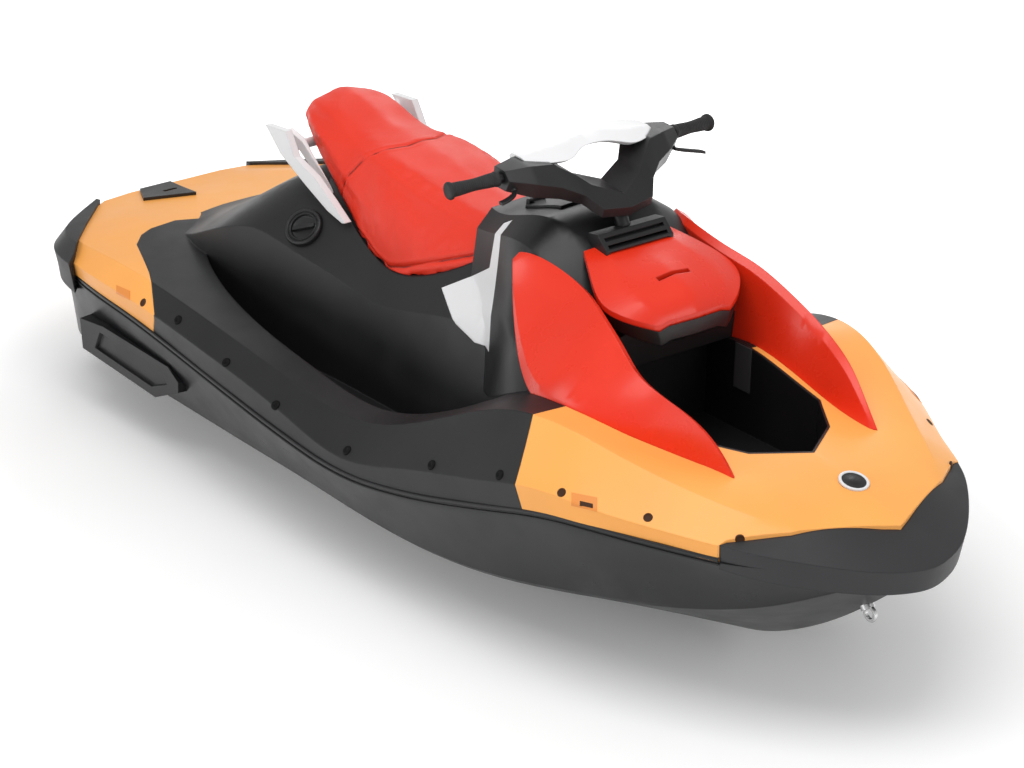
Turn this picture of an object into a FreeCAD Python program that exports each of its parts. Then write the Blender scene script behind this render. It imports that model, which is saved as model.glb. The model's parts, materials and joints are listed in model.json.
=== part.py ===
import FreeCAD, Part
import math
import os

os.makedirs("parts", exist_ok=True)

# Three-seat personal watercraft in millimetres.
# +X points to the bow, +Y to port and +Z up.
# The origin is on the centreline at the waterline, at half the length.

# Driving sizes of the whole craft
LENGTH = 3050.0
HALF_BEAM = 590.0
HEIGHT = 1070.0
DRAFT = 168.0
ORIGIN_X_SHARE = 0.5

# Clearances
SEAT_GAP = 0.3
RUN_GAP = 0.5
MOVE_GAP = 6.0
OVERRUN = 20.0

# Front storage bin
BIN_WALL = 6.0
BIN_FLOOR_Z_SHARE = 0.36

# Side panels, bumpers and rub pieces
BUMPER_PROUD = 16.0
BUMPER_RISE = 4.0
RECESS_DEPTH = 9.0

# Pump and its tunnel
PUMP_Z = 118.0
PUMP_BORE = 141.0
PUMP_WALL = 8.0
PUMP_LENGTH = 350.0
PUMP_AFT_X = 270.0
TUNNEL_HALF_WIDTH = 172.0
TUNNEL_TOP_Z = 300.0
TUNNEL_LENGTH = 620.0
IMPELLER_HUB = 52.0
IMPELLER_LENGTH = 78.0
IMPELLER_BLADES = 3
BLADE_THICKNESS = 5.0
BLADE_TWIST = 75.0
BLADE_TIP_GAP = 5.0
BLADE_SETBACK = 4.0
SHAFT_DIAMETER = 25.0
STATOR_LENGTH = 90.0
STATOR_HUB = 58.0
STATOR_FRONT_X = 470.0
VANE_ROOT = 10.0
VANE_SETBACK = 6.0
IMPELLER_AFT_X = 480.0
IMPELLER_TAPER = 0.6
STATOR_VANES = 7
VANE_THICKNESS = 5.0
VANE_TWIST = -22.0
VENTURI_LENGTH = 55.0
VENTURI_TUBE = 30.0
VENTURI_EXIT = 70.0
VENTURI_WALL = 5.0
FLANGE_DIAMETER = 200.0
FLANGE_THICKNESS = 14.0

# Steering nozzle and reverse bucket
NOZZLE_PIVOT_X = 182.0
NOZZLE_BORE = 108.0
NOZZLE_EXIT = 84.0
NOZZLE_WALL = 6.0
NOZZLE_AFT_X = 78.0
NOZZLE_FRONT_X = 192.0
PIVOT_PIN = 10.0
PIVOT_EAR = 24.0
EAR_THICKNESS = 8.0
PIN_INSET = 1.0
BUCKET_PIVOT_X = 205.0
BUCKET_RADIUS = 150.0
BUCKET_WALL = 7.0
BUCKET_HALF_WIDTH = 106.0
BUCKET_ARM = 8.0
BUCKET_PIN = 14.0
BUCKET_REST_ANGLE = 32.0
BUCKET_SPAN = 64.0

# Intake
DUCT_HALF_WIDTH = 80.0
DUCT_AFT_X = 800.0
DUCT_FRONT_X = 1230.0
DUCT_LIP_X = 700.0
DUCT_SILL_Z = 34.0
DUCT_KNEE_X = 950.0
DUCT_KNEE_Z = 80.0
DUCT_ROOF_X = 740.0
GRATE_Z = 18.0
GRATE_BARS = 4
GRATE_BAR_WIDTH = 9.0
GRATE_BAR_DEPTH = 14.0
GRATE_FRAME = 14.0
PLATE_THICKNESS = 10.0
RIDE_AFT_X = 250.0

# Engine and its bay
BAY_AFT_X = 1000.0
BAY_FRONT_X = 1610.0
BAY_HALF_WIDTH = 170.0
BAY_FLOOR_Z = 95.0
BAY_TOP_Z = 560.0
ENGINE_AFT_X = 1040.0
ENGINE_LENGTH = 520.0
ENGINE_HALF_WIDTH = 140.0
ENGINE_HEIGHT = 390.0

# Steering column and handlebar
STEM_X_SHARE = 0.6245902
STEM_Z_SHARE = 0.8551402
STEM_X = STEM_X_SHARE * LENGTH
STEM_Z = STEM_Z_SHARE * HEIGHT
STEM_RAKE = 30.0
STEM_DIAMETER = 36.0
STEM_DEPTH = 90.0
STEM_RISE = 26.0
BAR_DIAMETER = 22.0
BAR_HALF_LENGTH = 400.0
BAR_SHOULDER_X = -115.0
BAR_SHOULDER_Y = 190.0
BAR_SHOULDER_Z = 107.0
BAR_END_X = -143.0
BAR_END_Z = 95.0
GRIP_DIAMETER = 33.0
GRIP_LENGTH = 132.0
GRIP_FLANGE = 44.0
GRIP_FLANGE_LENGTH = 10.0
GRIP_CAP = 6.0
# Distance out, then corners forward of and above the foot of the stem
COVER_SECTIONS = (
    (262.0, ((-105.0, 75.0), (-93.0, 103.0), (-111.0, 123.0), (-149.0, 125.0), (-155.0, 77.0))),
    (205.0, ((-69.0, 57.0), (-55.0, 95.0), (-85.0, 131.0), (-155.0, 133.0), (-155.0, 69.0))),
    (150.0, ((-43.0, 51.0), (-31.0, 83.0), (-69.0, 129.0), (-151.0, 135.0), (-151.0, 69.0))),
    (105.0, ((-13.0, 37.0), (1.0, 63.0), (-39.0, 103.0), (-127.0, 111.0), (-121.0, 49.0))),
    (75.0, ((27.0, 9.0), (35.0, 33.0), (-15.0, 79.0), (-97.0, 85.0), (-89.0, 29.0))),
    (0.0, ((40.0, 2.0), (48.0, 27.0), (19.0, 51.0), (-69.0, 61.0), (-67.0, 19.0))))
# Distance to port, rear and front edge, height under the front, under the rear and on top
PAD_SECTIONS = (
    (-196.0, -177.0, -105.0, 123.0, 123.0, 137.0),
    (-150.0, -193.0, -81.0, 121.0, 123.0, 145.0),
    (-95.0, -201.0, -67.0, 121.0, 125.0, 152.0),
    (-50.0, -205.0, -89.0, 131.0, 129.0, 155.0),
    (0.0, -205.0, -99.0, 135.0, 131.0, 155.0),
    (50.0, -205.0, -89.0, 131.0, 129.0, 155.0),
    (95.0, -201.0, -67.0, 121.0, 125.0, 152.0),
    (150.0, -193.0, -81.0, 121.0, 123.0, 145.0),
    (196.0, -177.0, -105.0, 123.0, 123.0, 137.0))
PAD_RING_SHARES = ((0.06, 0.0), (0.88, 0.0), (1.0, 0.35), (0.62, 1.0), (0.14, 1.0), (0.0, 0.45))
LEVER_WIDTH = 13.0
LEVER_THICKNESS = 7.0
LEVER_PERCH = 14.0
LEVER_PERCH_START = (-122.0, 240.0, 104.0)
BRAKE_LEVER_POINTS = ((-90.0, 246.0, 77.0), (-75.0, 268.0, 73.0), (-63.0, 290.0, 70.0), (-54.0, 313.0, 65.0))
THROTTLE_POINTS = ((-90.0, 246.0, 77.0), (-79.0, 262.0, 71.0), (-73.0, 284.0, 67.0), (-71.0, 304.0, 65.0))

# Gauge pod between handlebar and hood, seen from the side
POD_OUTLINE_SHARES = ((0.6344, 0.7477), (0.6269, 0.7944), (0.6289, 0.8299),
                      (0.6400, 0.8346), (0.6511, 0.8056), (0.6531, 0.7477))
POD_HALF_WIDTH = 104.0
POD_SLOT_Z_SHARES = (0.7944, 0.8075, 0.8206)
POD_SLOT_X_SHARE = 0.6400
POD_SLOT = 7.0
POD_WALL = 12.0

# Glovebox behind the handlebar
GLOVEBOX_AFT_X = 1664.0
GLOVEBOX_FRONT_X = 1786.0
GLOVEBOX_HALF_WIDTH = 78.0
GLOVEBOX_DEPTH = 95.0
GLOVEBOX_TOP_Z = 872.0
LID_THICKNESS = 7.0
LID_OVERLAP = 5.0
LID_PIN = 7.0
LID_PIN_X = 1652.0
LID_PIN_Z = 874.0
LID_KNUCKLE = 13.0
LID_KNUCKLE_WIDTH = 30.0
LID_KNUCKLE_Y = 45.0
LID_LUG_WIDTH = 9.0
LID_REACH = 20.0

# Hood
HOOD_THICKNESS = 14.0
CHIN_DEPTH = 40.0
CHIN_INSET_SHARE = 0.10
HOOD_SLOT_X_SHARE = 0.6889
HOOD_SLOT_Z_SHARE = 0.729
HOOD_SLOT_LENGTH = 100.0
HOOD_SLOT_WIDTH = 13.0

# Turning shapes
FULL_TURN = 360.0
BLADE_SECTIONS = 5

# Plates that lie in the surface of console and deck
SQUEEZE_SHARE = 0.95
ACCENT_INNER = 120.0

# Fittings
EYE_BORE = 24.0
BOW_EYE_SHARE = (0.9272131, 0.0, 0.2158879)
BOW_EYE_SLOPE = 52.0
STERN_EYE = (41.0, 205.0, 270.0)
EYE_BASE = 34.0
PLUG = (61.0, 200.0, 200.0)
PLUG_SLOT = 6.0
CAP_CENTRE = (992.0, -258.0, 640.0)
CAP_TILT = 45.0
CAP_NOTCH = 12.0
CAP_NOTCHES = 8
TOW_SLOT = (150.0, -80.0)
TOW_SLOT_LENGTH = 30.0
TOW_SLOT_WIDTH = 15.0
BIN_PLATE = (2134.0, 2190.0, 497.0, 612.0)
BIN_PLATE_THICKNESS = 3.0
SPONSON_INNER = 400.0
SPONSON_OUTER = 540.0
SPONSON_TAPER_SHARE = 0.94
EYE_WIRE = 9.0
PAD_THICKNESS = 9.0
CAP_DIAMETER = 96.0
CAP_THICKNESS = 15.0
PLUG_DIAMETER = 34.0
PLUG_THICKNESS = 12.0
RAIL_BAR = 26.0
RAIL_INNER = 192.0
RAIL_OUTER = 212.0
STRIP_INNER = 150.0
STRIP_OUTER = 168.0
RAIL_BAR_POINTS = ((800.0, 200.0, 818.0), (800.0, 150.0, 768.0))

# Lines plan: every long edge of hull and deck runs through these stations.
STATION_SHARES = (
    0.020, 0.043, 0.072, 0.115, 0.164, 0.230, 0.344, 0.443, 0.525,
    0.607, 0.689, 0.754, 0.803, 0.852, 0.902, 0.941, 0.974)
KEEL_Z_SHARES = (
    0.004, 0.004, 0.003, 0.002, 0.001, 0.0, 0.0, 0.0, 0.0,
    0.0, 0.001, 0.006, 0.028, 0.089, 0.182, 0.273, 0.355)
CHINE_Y_SHARES = (
    0.398, 0.559, 0.703, 0.771, 0.793, 0.800, 0.805, 0.805, 0.805,
    0.793, 0.754, 0.686, 0.610, 0.500, 0.356, 0.212, 0.060)
CHINE_Z_SHARES = (
    0.121, 0.120, 0.118, 0.117, 0.116, 0.114, 0.110, 0.106, 0.100,
    0.107, 0.136, 0.168, 0.192, 0.220, 0.266, 0.322, 0.362)
BOND_Y_SHARES = (
    0.424, 0.602, 0.780, 0.881, 0.920, 0.946, 0.980, 0.992, 0.992,
    0.980, 0.958, 0.927, 0.856, 0.725, 0.593, 0.407, 0.153)
BOND_Z_SHARES = (
    0.313, 0.316, 0.320, 0.324, 0.325, 0.324, 0.297, 0.266, 0.250,
    0.288, 0.350, 0.402, 0.409, 0.400, 0.397, 0.397, 0.397)
RIDGE_Y_SHARES = (
    0.432, 0.614, 0.797, 0.902, 0.942, 0.969, 0.997, 1.0, 1.0,
    0.992, 0.969, 0.936, 0.861, 0.729, 0.593, 0.407, 0.153)
RIDGE_Z_SHARES = (
    0.350, 0.353, 0.358, 0.366, 0.374, 0.379, 0.363, 0.327, 0.296,
    0.355, 0.416, 0.459, 0.453, 0.439, 0.432, 0.425, 0.421)
RIM_Y_SHARES = (
    0.398, 0.568, 0.737, 0.831, 0.873, 0.907, 0.915, 0.907, 0.890,
    0.856, 0.822, 0.771, 0.686, 0.568, 0.432, 0.271, 0.085)
RIM_Z_SHARES = (
    0.374, 0.379, 0.388, 0.402, 0.421, 0.433, 0.411, 0.377, 0.369,
    0.455, 0.561, 0.572, 0.537, 0.500, 0.472, 0.450, 0.432)
INNER_Y_SHARES = (
    0.254, 0.339, 0.458, 0.525, 0.576, 0.627, 0.678, 0.678, 0.678,
    0.644, 0.610, 0.559, 0.458, 0.339, 0.237, 0.136, 0.051)
INNER_Z_SHARES = (
    0.379, 0.388, 0.402, 0.421, 0.437, 0.444, 0.421, 0.393, 0.393,
    0.467, 0.570, 0.547, 0.519, 0.505, 0.486, 0.458, 0.425)
CROWN_Z_SHARES = (
    0.379, 0.388, 0.402, 0.422, 0.444, 0.458, 0.430, 0.411, 0.411,
    0.486, 0.570, 0.561, 0.537, 0.519, 0.497, 0.463, 0.430)
SHELF_Z_SHARES = (
    0.243, 0.243, 0.243, 0.243, 0.243, 0.234, 0.229, 0.224, 0.220,
    0.224, 0.275, 0.330, 0.345, 0.358, 0.375, 0.387, 0.391)
SHELF_INSET_SHARE = 0.085
CHINE_FLAT_SHARE = 0.035
CHINE_RISE_SHARE = 0.012

# Footwells: rim and foot of the trough by station
WELL_STATION_SHARES = (0.205, 0.262, 0.344, 0.443, 0.525, 0.590, 0.640)
WELL_RIM_Y_SHARES = (0.560, 0.700, 0.800, 0.825, 0.825, 0.785, 0.710)
WELL_FOOT_Y_SHARES = (0.500, 0.640, 0.740, 0.765, 0.765, 0.725, 0.650)
WELL_FLOOR_Z_SHARES = (0.380, 0.290, 0.280, 0.275, 0.275, 0.305, 0.400)
WELL_INNER_SHARE = 0.20
WELL_TOP_SHARE = 0.90

# Pedestal that carries the seat: foot, hip, side, top edge and centreline
PEDESTAL_STATION_SHARES = (
    0.131, 0.180, 0.230, 0.279, 0.328, 0.377, 0.426, 0.466, 0.508, 0.557, 0.607)
PEDESTAL_FOOT_Z_SHARE = 0.257
PEDESTAL_FOOT_Y_SHARES = (
    0.508, 0.576, 0.585, 0.568, 0.542, 0.517, 0.500, 0.492, 0.492, 0.500, 0.508)
PEDESTAL_HIP_Y_SHARES = (
    0.373, 0.508, 0.559, 0.525, 0.492, 0.449, 0.432, 0.424, 0.415, 0.407, 0.424)
PEDESTAL_HIP_Z_SHARES = (
    0.421, 0.449, 0.514, 0.561, 0.542, 0.514, 0.495, 0.514, 0.542, 0.561, 0.579)
PEDESTAL_SIDE_Y_SHARES = (
    0.203, 0.288, 0.305, 0.263, 0.271, 0.314, 0.314, 0.305, 0.280, 0.271, 0.271)
PEDESTAL_SIDE_Z_SHARES = (
    0.432, 0.486, 0.570, 0.654, 0.664, 0.617, 0.598, 0.626, 0.673, 0.692, 0.692)
PEDESTAL_TOP_Y_SHARES = (
    0.136, 0.186, 0.203, 0.169, 0.186, 0.203, 0.212, 0.203, 0.186, 0.169, 0.169)
PEDESTAL_TOP_Z_SHARES = (
    0.435, 0.495, 0.584, 0.673, 0.724, 0.710, 0.701, 0.701, 0.710, 0.710, 0.710)
PEDESTAL_CROWN_Z_SHARES = (
    0.436, 0.497, 0.589, 0.678, 0.734, 0.724, 0.715, 0.710, 0.720, 0.720, 0.720)

# Seat: lower edge, widest line, shoulder, top centreline and saddle underneath
SEAT_STATION_SHARES = (0.256, 0.270, 0.295, 0.328, 0.377, 0.426, 0.466, 0.508, 0.536)
SEAT_EDGE_Y_SHARES = (0.160, 0.208, 0.250, 0.275, 0.325, 0.347, 0.339, 0.300, 0.250)
SEAT_EDGE_Z_SHARES = (0.757, 0.744, 0.706, 0.648, 0.586, 0.545, 0.578, 0.634, 0.682)
SEAT_SIDE_Y_SHARES = (0.200, 0.252, 0.290, 0.305, 0.340, 0.352, 0.339, 0.300, 0.250)
SEAT_SIDE_Z_SHARES = (0.785, 0.785, 0.768, 0.720, 0.680, 0.655, 0.655, 0.680, 0.705)
SEAT_SHOULDER_Y_SHARES = (0.150, 0.195, 0.220, 0.230, 0.260, 0.265, 0.245, 0.210, 0.175)
SEAT_SHOULDER_Z_SHARES = (0.814, 0.827, 0.822, 0.792, 0.785, 0.772, 0.752, 0.741, 0.738)
SEAT_TOP_Z_SHARES = (0.828, 0.844, 0.840, 0.811, 0.806, 0.794, 0.772, 0.758, 0.752)
SEAT_SADDLE_Y_SHARES = (0.110, 0.136, 0.157, 0.185, 0.215, 0.225, 0.215, 0.195, 0.170)
SEAT_SADDLE_Z_SHARES = (0.750, 0.742, 0.726, 0.690, 0.670, 0.661, 0.661, 0.671, 0.692)
SEAT_BOTTOM_Z_SHARES = (0.751, 0.745, 0.731, 0.700, 0.682, 0.673, 0.673, 0.682, 0.698)

# Console under the handlebar: foot, waist, shoulder, top edge and centreline
CONSOLE_STATION_SHARES = (0.520, 0.564, 0.607, 0.645, 0.689)
CONSOLE_FOOT_Y_SHARES = (0.340, 0.430, 0.580, 0.640, 0.620)
CONSOLE_FOOT_Z_SHARES = (0.380, 0.400, 0.430, 0.500, 0.545)
CONSOLE_WAIST_Y_SHARES = (0.330, 0.410, 0.510, 0.560, 0.440)
CONSOLE_WAIST_Z_SHARES = (0.580, 0.600, 0.640, 0.620, 0.610)
CONSOLE_SHOULDER_Y_SHARES = (0.290, 0.345, 0.375, 0.345, 0.290)
CONSOLE_SHOULDER_Z_SHARES = (0.755, 0.785, 0.795, 0.735, 0.645)
CONSOLE_TOP_Y_SHARES = (0.215, 0.255, 0.235, 0.190, 0.150)
CONSOLE_TOP_Z_SHARES = (0.795, 0.822, 0.842, 0.775, 0.665)
CONSOLE_CROWN_Z_SHARES = (0.800, 0.827, 0.847, 0.780, 0.670)

# Side panel: outer foot, bevel, top outer edge, top inner edge and inner foot
PANEL_FOOT_SHARES = (
    (0.603, 0.450, 0.772), (0.619, 0.515, 0.705), (0.646, 0.590, 0.600),
    (0.684, 0.660, 0.553), (0.718, 0.655, 0.548), (0.749, 0.590, 0.530),
    (0.787, 0.495, 0.508), (0.820, 0.425, 0.497), (0.850, 0.385, 0.488))
PANEL_BEVEL_SHARES = (
    (0.602, 0.448, 0.778), (0.619, 0.510, 0.720), (0.648, 0.582, 0.630),
    (0.686, 0.650, 0.588), (0.720, 0.635, 0.582), (0.751, 0.570, 0.562),
    (0.789, 0.478, 0.538), (0.821, 0.415, 0.520), (0.850, 0.383, 0.495))
PANEL_TOP_SHARES = (
    (0.602, 0.415, 0.790), (0.630, 0.378, 0.788), (0.669, 0.380, 0.768),
    (0.700, 0.418, 0.743), (0.731, 0.450, 0.703), (0.761, 0.470, 0.659),
    (0.797, 0.438, 0.622), (0.823, 0.402, 0.580), (0.850, 0.378, 0.503))
PANEL_INNER_SHARES = (
    (0.603, 0.385, 0.782), (0.630, 0.350, 0.776), (0.669, 0.352, 0.755),
    (0.700, 0.388, 0.730), (0.731, 0.420, 0.690), (0.761, 0.440, 0.646),
    (0.797, 0.408, 0.610), (0.823, 0.378, 0.570), (0.849, 0.366, 0.500))
PANEL_ROOT_SHARES = (
    (0.604, 0.380, 0.760), (0.630, 0.345, 0.700), (0.669, 0.345, 0.610),
    (0.698, 0.345, 0.555), (0.728, 0.348, 0.545), (0.761, 0.348, 0.532),
    (0.794, 0.345, 0.515), (0.820, 0.342, 0.500), (0.849, 0.350, 0.485))

# Hood: edge, crease and centre crest, each from the rear to the nose
HOOD_EDGE_SHARES = (
    (0.636, 0.229, 0.800), (0.666, 0.314, 0.768), (0.689, 0.347, 0.738),
    (0.708, 0.280, 0.715), (0.718, 0.186, 0.696))
HOOD_CREASE_SHARES = (
    (0.637, 0.153, 0.804), (0.666, 0.186, 0.787), (0.689, 0.212, 0.762),
    (0.707, 0.203, 0.734), (0.718, 0.136, 0.703))
HOOD_CREST_SHARES = (
    (0.638, 0.0, 0.804), (0.668, 0.0, 0.788), (0.692, 0.0, 0.772),
    (0.710, 0.0, 0.748), (0.721, 0.0, 0.706))

# Bow bumper: inner top, ridge, lip and inner bottom from the side to the nose
BUMPER_TOP_SHARES = (
    (0.8787, 0.588, 0.4393), (0.8967, 0.483, 0.4505), (0.9121, 0.390, 0.4590), (0.9236, 0.255, 0.4690),
    (0.9351, 0.120, 0.4620), (0.9413, 0.055, 0.4540), (0.9457, 0.0, 0.4510))
BUMPER_RIDGE_SHARES = (
    (0.8787, 0.654, 0.4370), (0.9033, 0.588, 0.4310), (0.9230, 0.512, 0.4243), (0.9475, 0.393, 0.4159),
    (0.9705, 0.254, 0.4065), (0.9830, 0.132, 0.3998), (0.9885, 0.0, 0.3963))
BUMPER_LIP_SHARES = (
    (0.8787, 0.652, 0.3830), (0.9033, 0.583, 0.3729), (0.9223, 0.505, 0.3636), (0.9459, 0.380, 0.3542),
    (0.9679, 0.240, 0.3477), (0.9797, 0.125, 0.3439), (0.9852, 0.0, 0.3421))
BUMPER_BASE_SHARES = (
    (0.8787, 0.560, 0.3740), (0.8990, 0.483, 0.3620), (0.9130, 0.393, 0.3520), (0.9270, 0.262, 0.3440),
    (0.9410, 0.132, 0.3390), (0.9480, 0.061, 0.3370), (0.9500, 0.0, 0.3365))
BUMPER_BORDER_SHARES = ((0.870, 1.10), (0.8902, 0.597), (0.9170, 0.398), (0.9521, 0.0))

# Plan outlines as shares of length and half beam
STERN_PANEL_SHARES = (
    (-0.02, 1.10), (0.262, 1.10), (0.262, 0.975), (0.223, 0.864), (0.161, 0.712), (0.144, 0.627),
    (0.138, 0.560), (0.134, 0.410), (0.146, 0.320), (0.138, 0.0))
BOW_PANEL_TOP_SHARE = (0.712, 0.60)
BOW_PANEL_FOOT_SHARE = (0.742, 0.35)
BEYOND_BOW_SHARE = 1.1
BIN_OUTLINE_SHARES = ((0.664, 0.330), (0.795, 0.330), (0.830, 0.215), (0.857, 0.0))
STERN_BUMPER_SHARES = ((-0.02, 0.42), (0.020, 0.42), (0.120, 0.90), (0.137, 1.10), (-0.02, 1.10))
STERN_BUMPER_LOW_SHARE = 0.285

# Side outlines as shares of length and height
SPONSON_RECESS_SHARES = ((0.160, 0.226), (0.152, 0.176), (0.240, 0.160), (0.264, 0.190), (0.257, 0.222))
SPONSON_SHARES = ((0.126, 0.235), (0.130, 0.154), (0.247, 0.135), (0.283, 0.184),
                  (0.283, 0.212), (0.267, 0.240), (0.164, 0.248))
ACCENT_SHARES = ((0.493, 0.591), (0.551, 0.695), (0.552, 0.795), (0.560, 0.809),
                 (0.579, 0.533), (0.551, 0.522), (0.526, 0.541))
RAIL_BLADE_SHARES = ((0.2531, 0.7776), (0.2813, 0.7850), (0.2941, 0.7308), (0.3220, 0.7047),
                     (0.3443, 0.6673), (0.3649, 0.6290), (0.3607, 0.6252), (0.3403, 0.6383),
                     (0.3082, 0.6776), (0.2744, 0.7234))
RAIL_STRIP_SHARES = ((0.2597, 0.7530), (0.2643, 0.7680), (0.2859, 0.7530), (0.3305, 0.6692),
                     (0.3246, 0.6505), (0.2820, 0.7290))
PAD_OUTLINE_SHARES = ((0.024, -0.215), (0.024, -0.045), (0.077, -0.090), (0.054, -0.300))


def at(x_share, y_share, z_share):
    """Point of the craft from shares of length, half beam and height."""
    x = (x_share - ORIGIN_X_SHARE) * LENGTH
    return FreeCAD.Vector(x, y_share * HALF_BEAM, z_share * HEIGHT - DRAFT)


def place(x, y, z):
    """Point from lengths measured from the stern, centreline and keel."""
    return FreeCAD.Vector(x - ORIGIN_X_SHARE * LENGTH, y, z - DRAFT)


def mirrored(shape):
    """Same shape on the other side of the centreline."""
    return shape.mirror(FreeCAD.Vector(0, 0, 0), FreeCAD.Vector(0, 1, 0))


def flip(point):
    return FreeCAD.Vector(point.x, -point.y, point.z)


def spline(points, stations):
    """Smooth edge through the points, with the stations as its parameters."""
    curve = Part.BSplineCurve()
    curve.interpolate(Points=points, Parameters=list(stations))
    return curve.toShape()


def cap(points):
    """Faces that close the end of a ring, zipped from its two sides."""
    faces = []
    last = len(points) - 1
    for index in range(len(points) // 2):
        near = (points[index], points[index + 1], points[last - index])
        far = (points[index + 1], points[last - index - 1], points[last - index])
        for corners in (near, far):
            if (corners[1] - corners[0]).cross(corners[2] - corners[0]).Length > 0:
                faces.append(Part.Face(Part.makePolygon(list(corners) + [corners[0]])))
    return faces


def flat_cap(points):
    return [Part.Face(Part.makePolygon(points + [points[0]]))]


def closed_solid(faces):
    shell = Part.makeShell(faces)
    shell.sewShape()
    solid = Part.makeSolid(shell)
    if solid.Volume < 0:
        solid.reverse()
    return solid


def skin(lines, stations=None, ends=flat_cap):
    """Solid bounded by a closed ring of long edges, each a list of points."""
    if stations is None:
        count = len(lines[0])
        stations = [index / (count - 1) for index in range(count)]
    edges = [spline(line, stations) for line in lines]
    faces = []
    for index, edge in enumerate(edges):
        faces.append(Part.makeRuledSurface(edge, edges[(index + 1) % len(edges)]))
    faces += ends([line[0] for line in lines])
    faces += ends([line[-1] for line in lines])
    return closed_solid(faces)


def station_line(stations, y_shares, z_shares, side=1):
    line = []
    for x_share, y_share, z_share in zip(stations, y_shares, z_shares):
        line.append(at(x_share, side * y_share, z_share))
    return line


def hull_lines(side):
    """Bond line, chine top and chine of one side."""
    shelf_y = [y - SHELF_INSET_SHARE * min(1.0, y / 0.30) for y in BOND_Y_SHARES]
    flat_y = [y + CHINE_FLAT_SHARE * min(1.0, y) for y in CHINE_Y_SHARES]
    flat_z = [z + CHINE_RISE_SHARE * min(1.0, 2.0 * y) for y, z in zip(CHINE_Y_SHARES, CHINE_Z_SHARES)]
    bond = station_line(STATION_SHARES, BOND_Y_SHARES, BOND_Z_SHARES, side)
    chine_top = station_line(STATION_SHARES, flat_y, flat_z, side)
    chine = station_line(STATION_SHARES, CHINE_Y_SHARES, CHINE_Z_SHARES, side)
    shelf = station_line(STATION_SHARES, shelf_y, SHELF_Z_SHARES, side)
    return bond, chine_top, chine, shelf


def centre_line(stations, z_shares):
    return [at(x, 0, z) for x, z in zip(stations, z_shares)]


def hull_body():
    bond_s, top_s, chine_s, shelf_s = hull_lines(-1)
    bond_p, top_p, chine_p, shelf_p = hull_lines(1)
    keel = centre_line(STATION_SHARES, KEEL_Z_SHARES)
    ring = [bond_s, top_s, chine_s, keel, chine_p, top_p, bond_p, shelf_p, shelf_s]
    return skin(ring, STATION_SHARES)


def gunwale_body():
    """Everything above the bond line, before footwells and pockets are cut."""
    halves = []
    for side in (-1, 1):
        bond, _, _, shelf = hull_lines(side)
        ridge = station_line(STATION_SHARES, RIDGE_Y_SHARES, RIDGE_Z_SHARES, side)
        rim = station_line(STATION_SHARES, RIM_Y_SHARES, RIM_Z_SHARES, side)
        inner = station_line(STATION_SHARES, INNER_Y_SHARES, INNER_Z_SHARES, side)
        halves.append([shelf, bond, ridge, rim, inner])
    crown = centre_line(STATION_SHARES, CROWN_Z_SHARES)
    return skin(halves[0] + [crown] + halves[1][::-1], STATION_SHARES)


def pedestal_body():
    stations = PEDESTAL_STATION_SHARES
    foot_z = [PEDESTAL_FOOT_Z_SHARE] * len(stations)
    halves = []
    for side in (-1, 1):
        foot = station_line(stations, PEDESTAL_FOOT_Y_SHARES, foot_z, side)
        hip = station_line(stations, PEDESTAL_HIP_Y_SHARES, PEDESTAL_HIP_Z_SHARES, side)
        wall = station_line(stations, PEDESTAL_SIDE_Y_SHARES, PEDESTAL_SIDE_Z_SHARES, side)
        top = station_line(stations, PEDESTAL_TOP_Y_SHARES, PEDESTAL_TOP_Z_SHARES, side)
        halves.append([foot, hip, wall, top])
    crown = centre_line(stations, PEDESTAL_CROWN_Z_SHARES)
    return skin(halves[0] + [crown] + halves[1][::-1], stations)


def seat_body():
    stations = SEAT_STATION_SHARES
    halves = []
    for side in (-1, 1):
        saddle = station_line(stations, SEAT_SADDLE_Y_SHARES, SEAT_SADDLE_Z_SHARES, side)
        edge = station_line(stations, SEAT_EDGE_Y_SHARES, SEAT_EDGE_Z_SHARES, side)
        flank = station_line(stations, SEAT_SIDE_Y_SHARES, SEAT_SIDE_Z_SHARES, side)
        shoulder = station_line(stations, SEAT_SHOULDER_Y_SHARES, SEAT_SHOULDER_Z_SHARES, side)
        halves.append([saddle, edge, flank, shoulder])
    top = centre_line(stations, SEAT_TOP_Z_SHARES)
    bottom = centre_line(stations, SEAT_BOTTOM_Z_SHARES)
    return skin(halves[0] + [top] + halves[1][::-1] + [bottom], stations)


def console_body():
    stations = CONSOLE_STATION_SHARES
    halves = []
    for side in (-1, 1):
        foot = station_line(stations, CONSOLE_FOOT_Y_SHARES, CONSOLE_FOOT_Z_SHARES, side)
        waist = station_line(stations, CONSOLE_WAIST_Y_SHARES, CONSOLE_WAIST_Z_SHARES, side)
        shoulder = station_line(stations, CONSOLE_SHOULDER_Y_SHARES, CONSOLE_SHOULDER_Z_SHARES, side)
        top = station_line(stations, CONSOLE_TOP_Y_SHARES, CONSOLE_TOP_Z_SHARES, side)
        halves.append([foot, waist, shoulder, top])
    crown = centre_line(stations, CONSOLE_CROWN_Z_SHARES)
    return skin(halves[0] + [crown] + halves[1][::-1], stations)


def panel_body(side):
    lines = []
    tables = (PANEL_FOOT_SHARES, PANEL_BEVEL_SHARES, PANEL_TOP_SHARES,
              PANEL_INNER_SHARES, PANEL_ROOT_SHARES)
    for table in tables:
        lines.append([at(x, side * y, z) for x, y, z in table])
    return skin(lines, None, cap)


def bumper_body():
    """Bow bumper, swept round the nose from starboard to port."""
    lines = []
    for table in (BUMPER_TOP_SHARES, BUMPER_RIDGE_SHARES, BUMPER_LIP_SHARES, BUMPER_BASE_SHARES):
        starboard = [at(x, -y, z) for x, y, z in table]
        port = [flip(point) for point in starboard[-2::-1]]
        lines.append(starboard + port)
    return skin(lines, None, cap)


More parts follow.
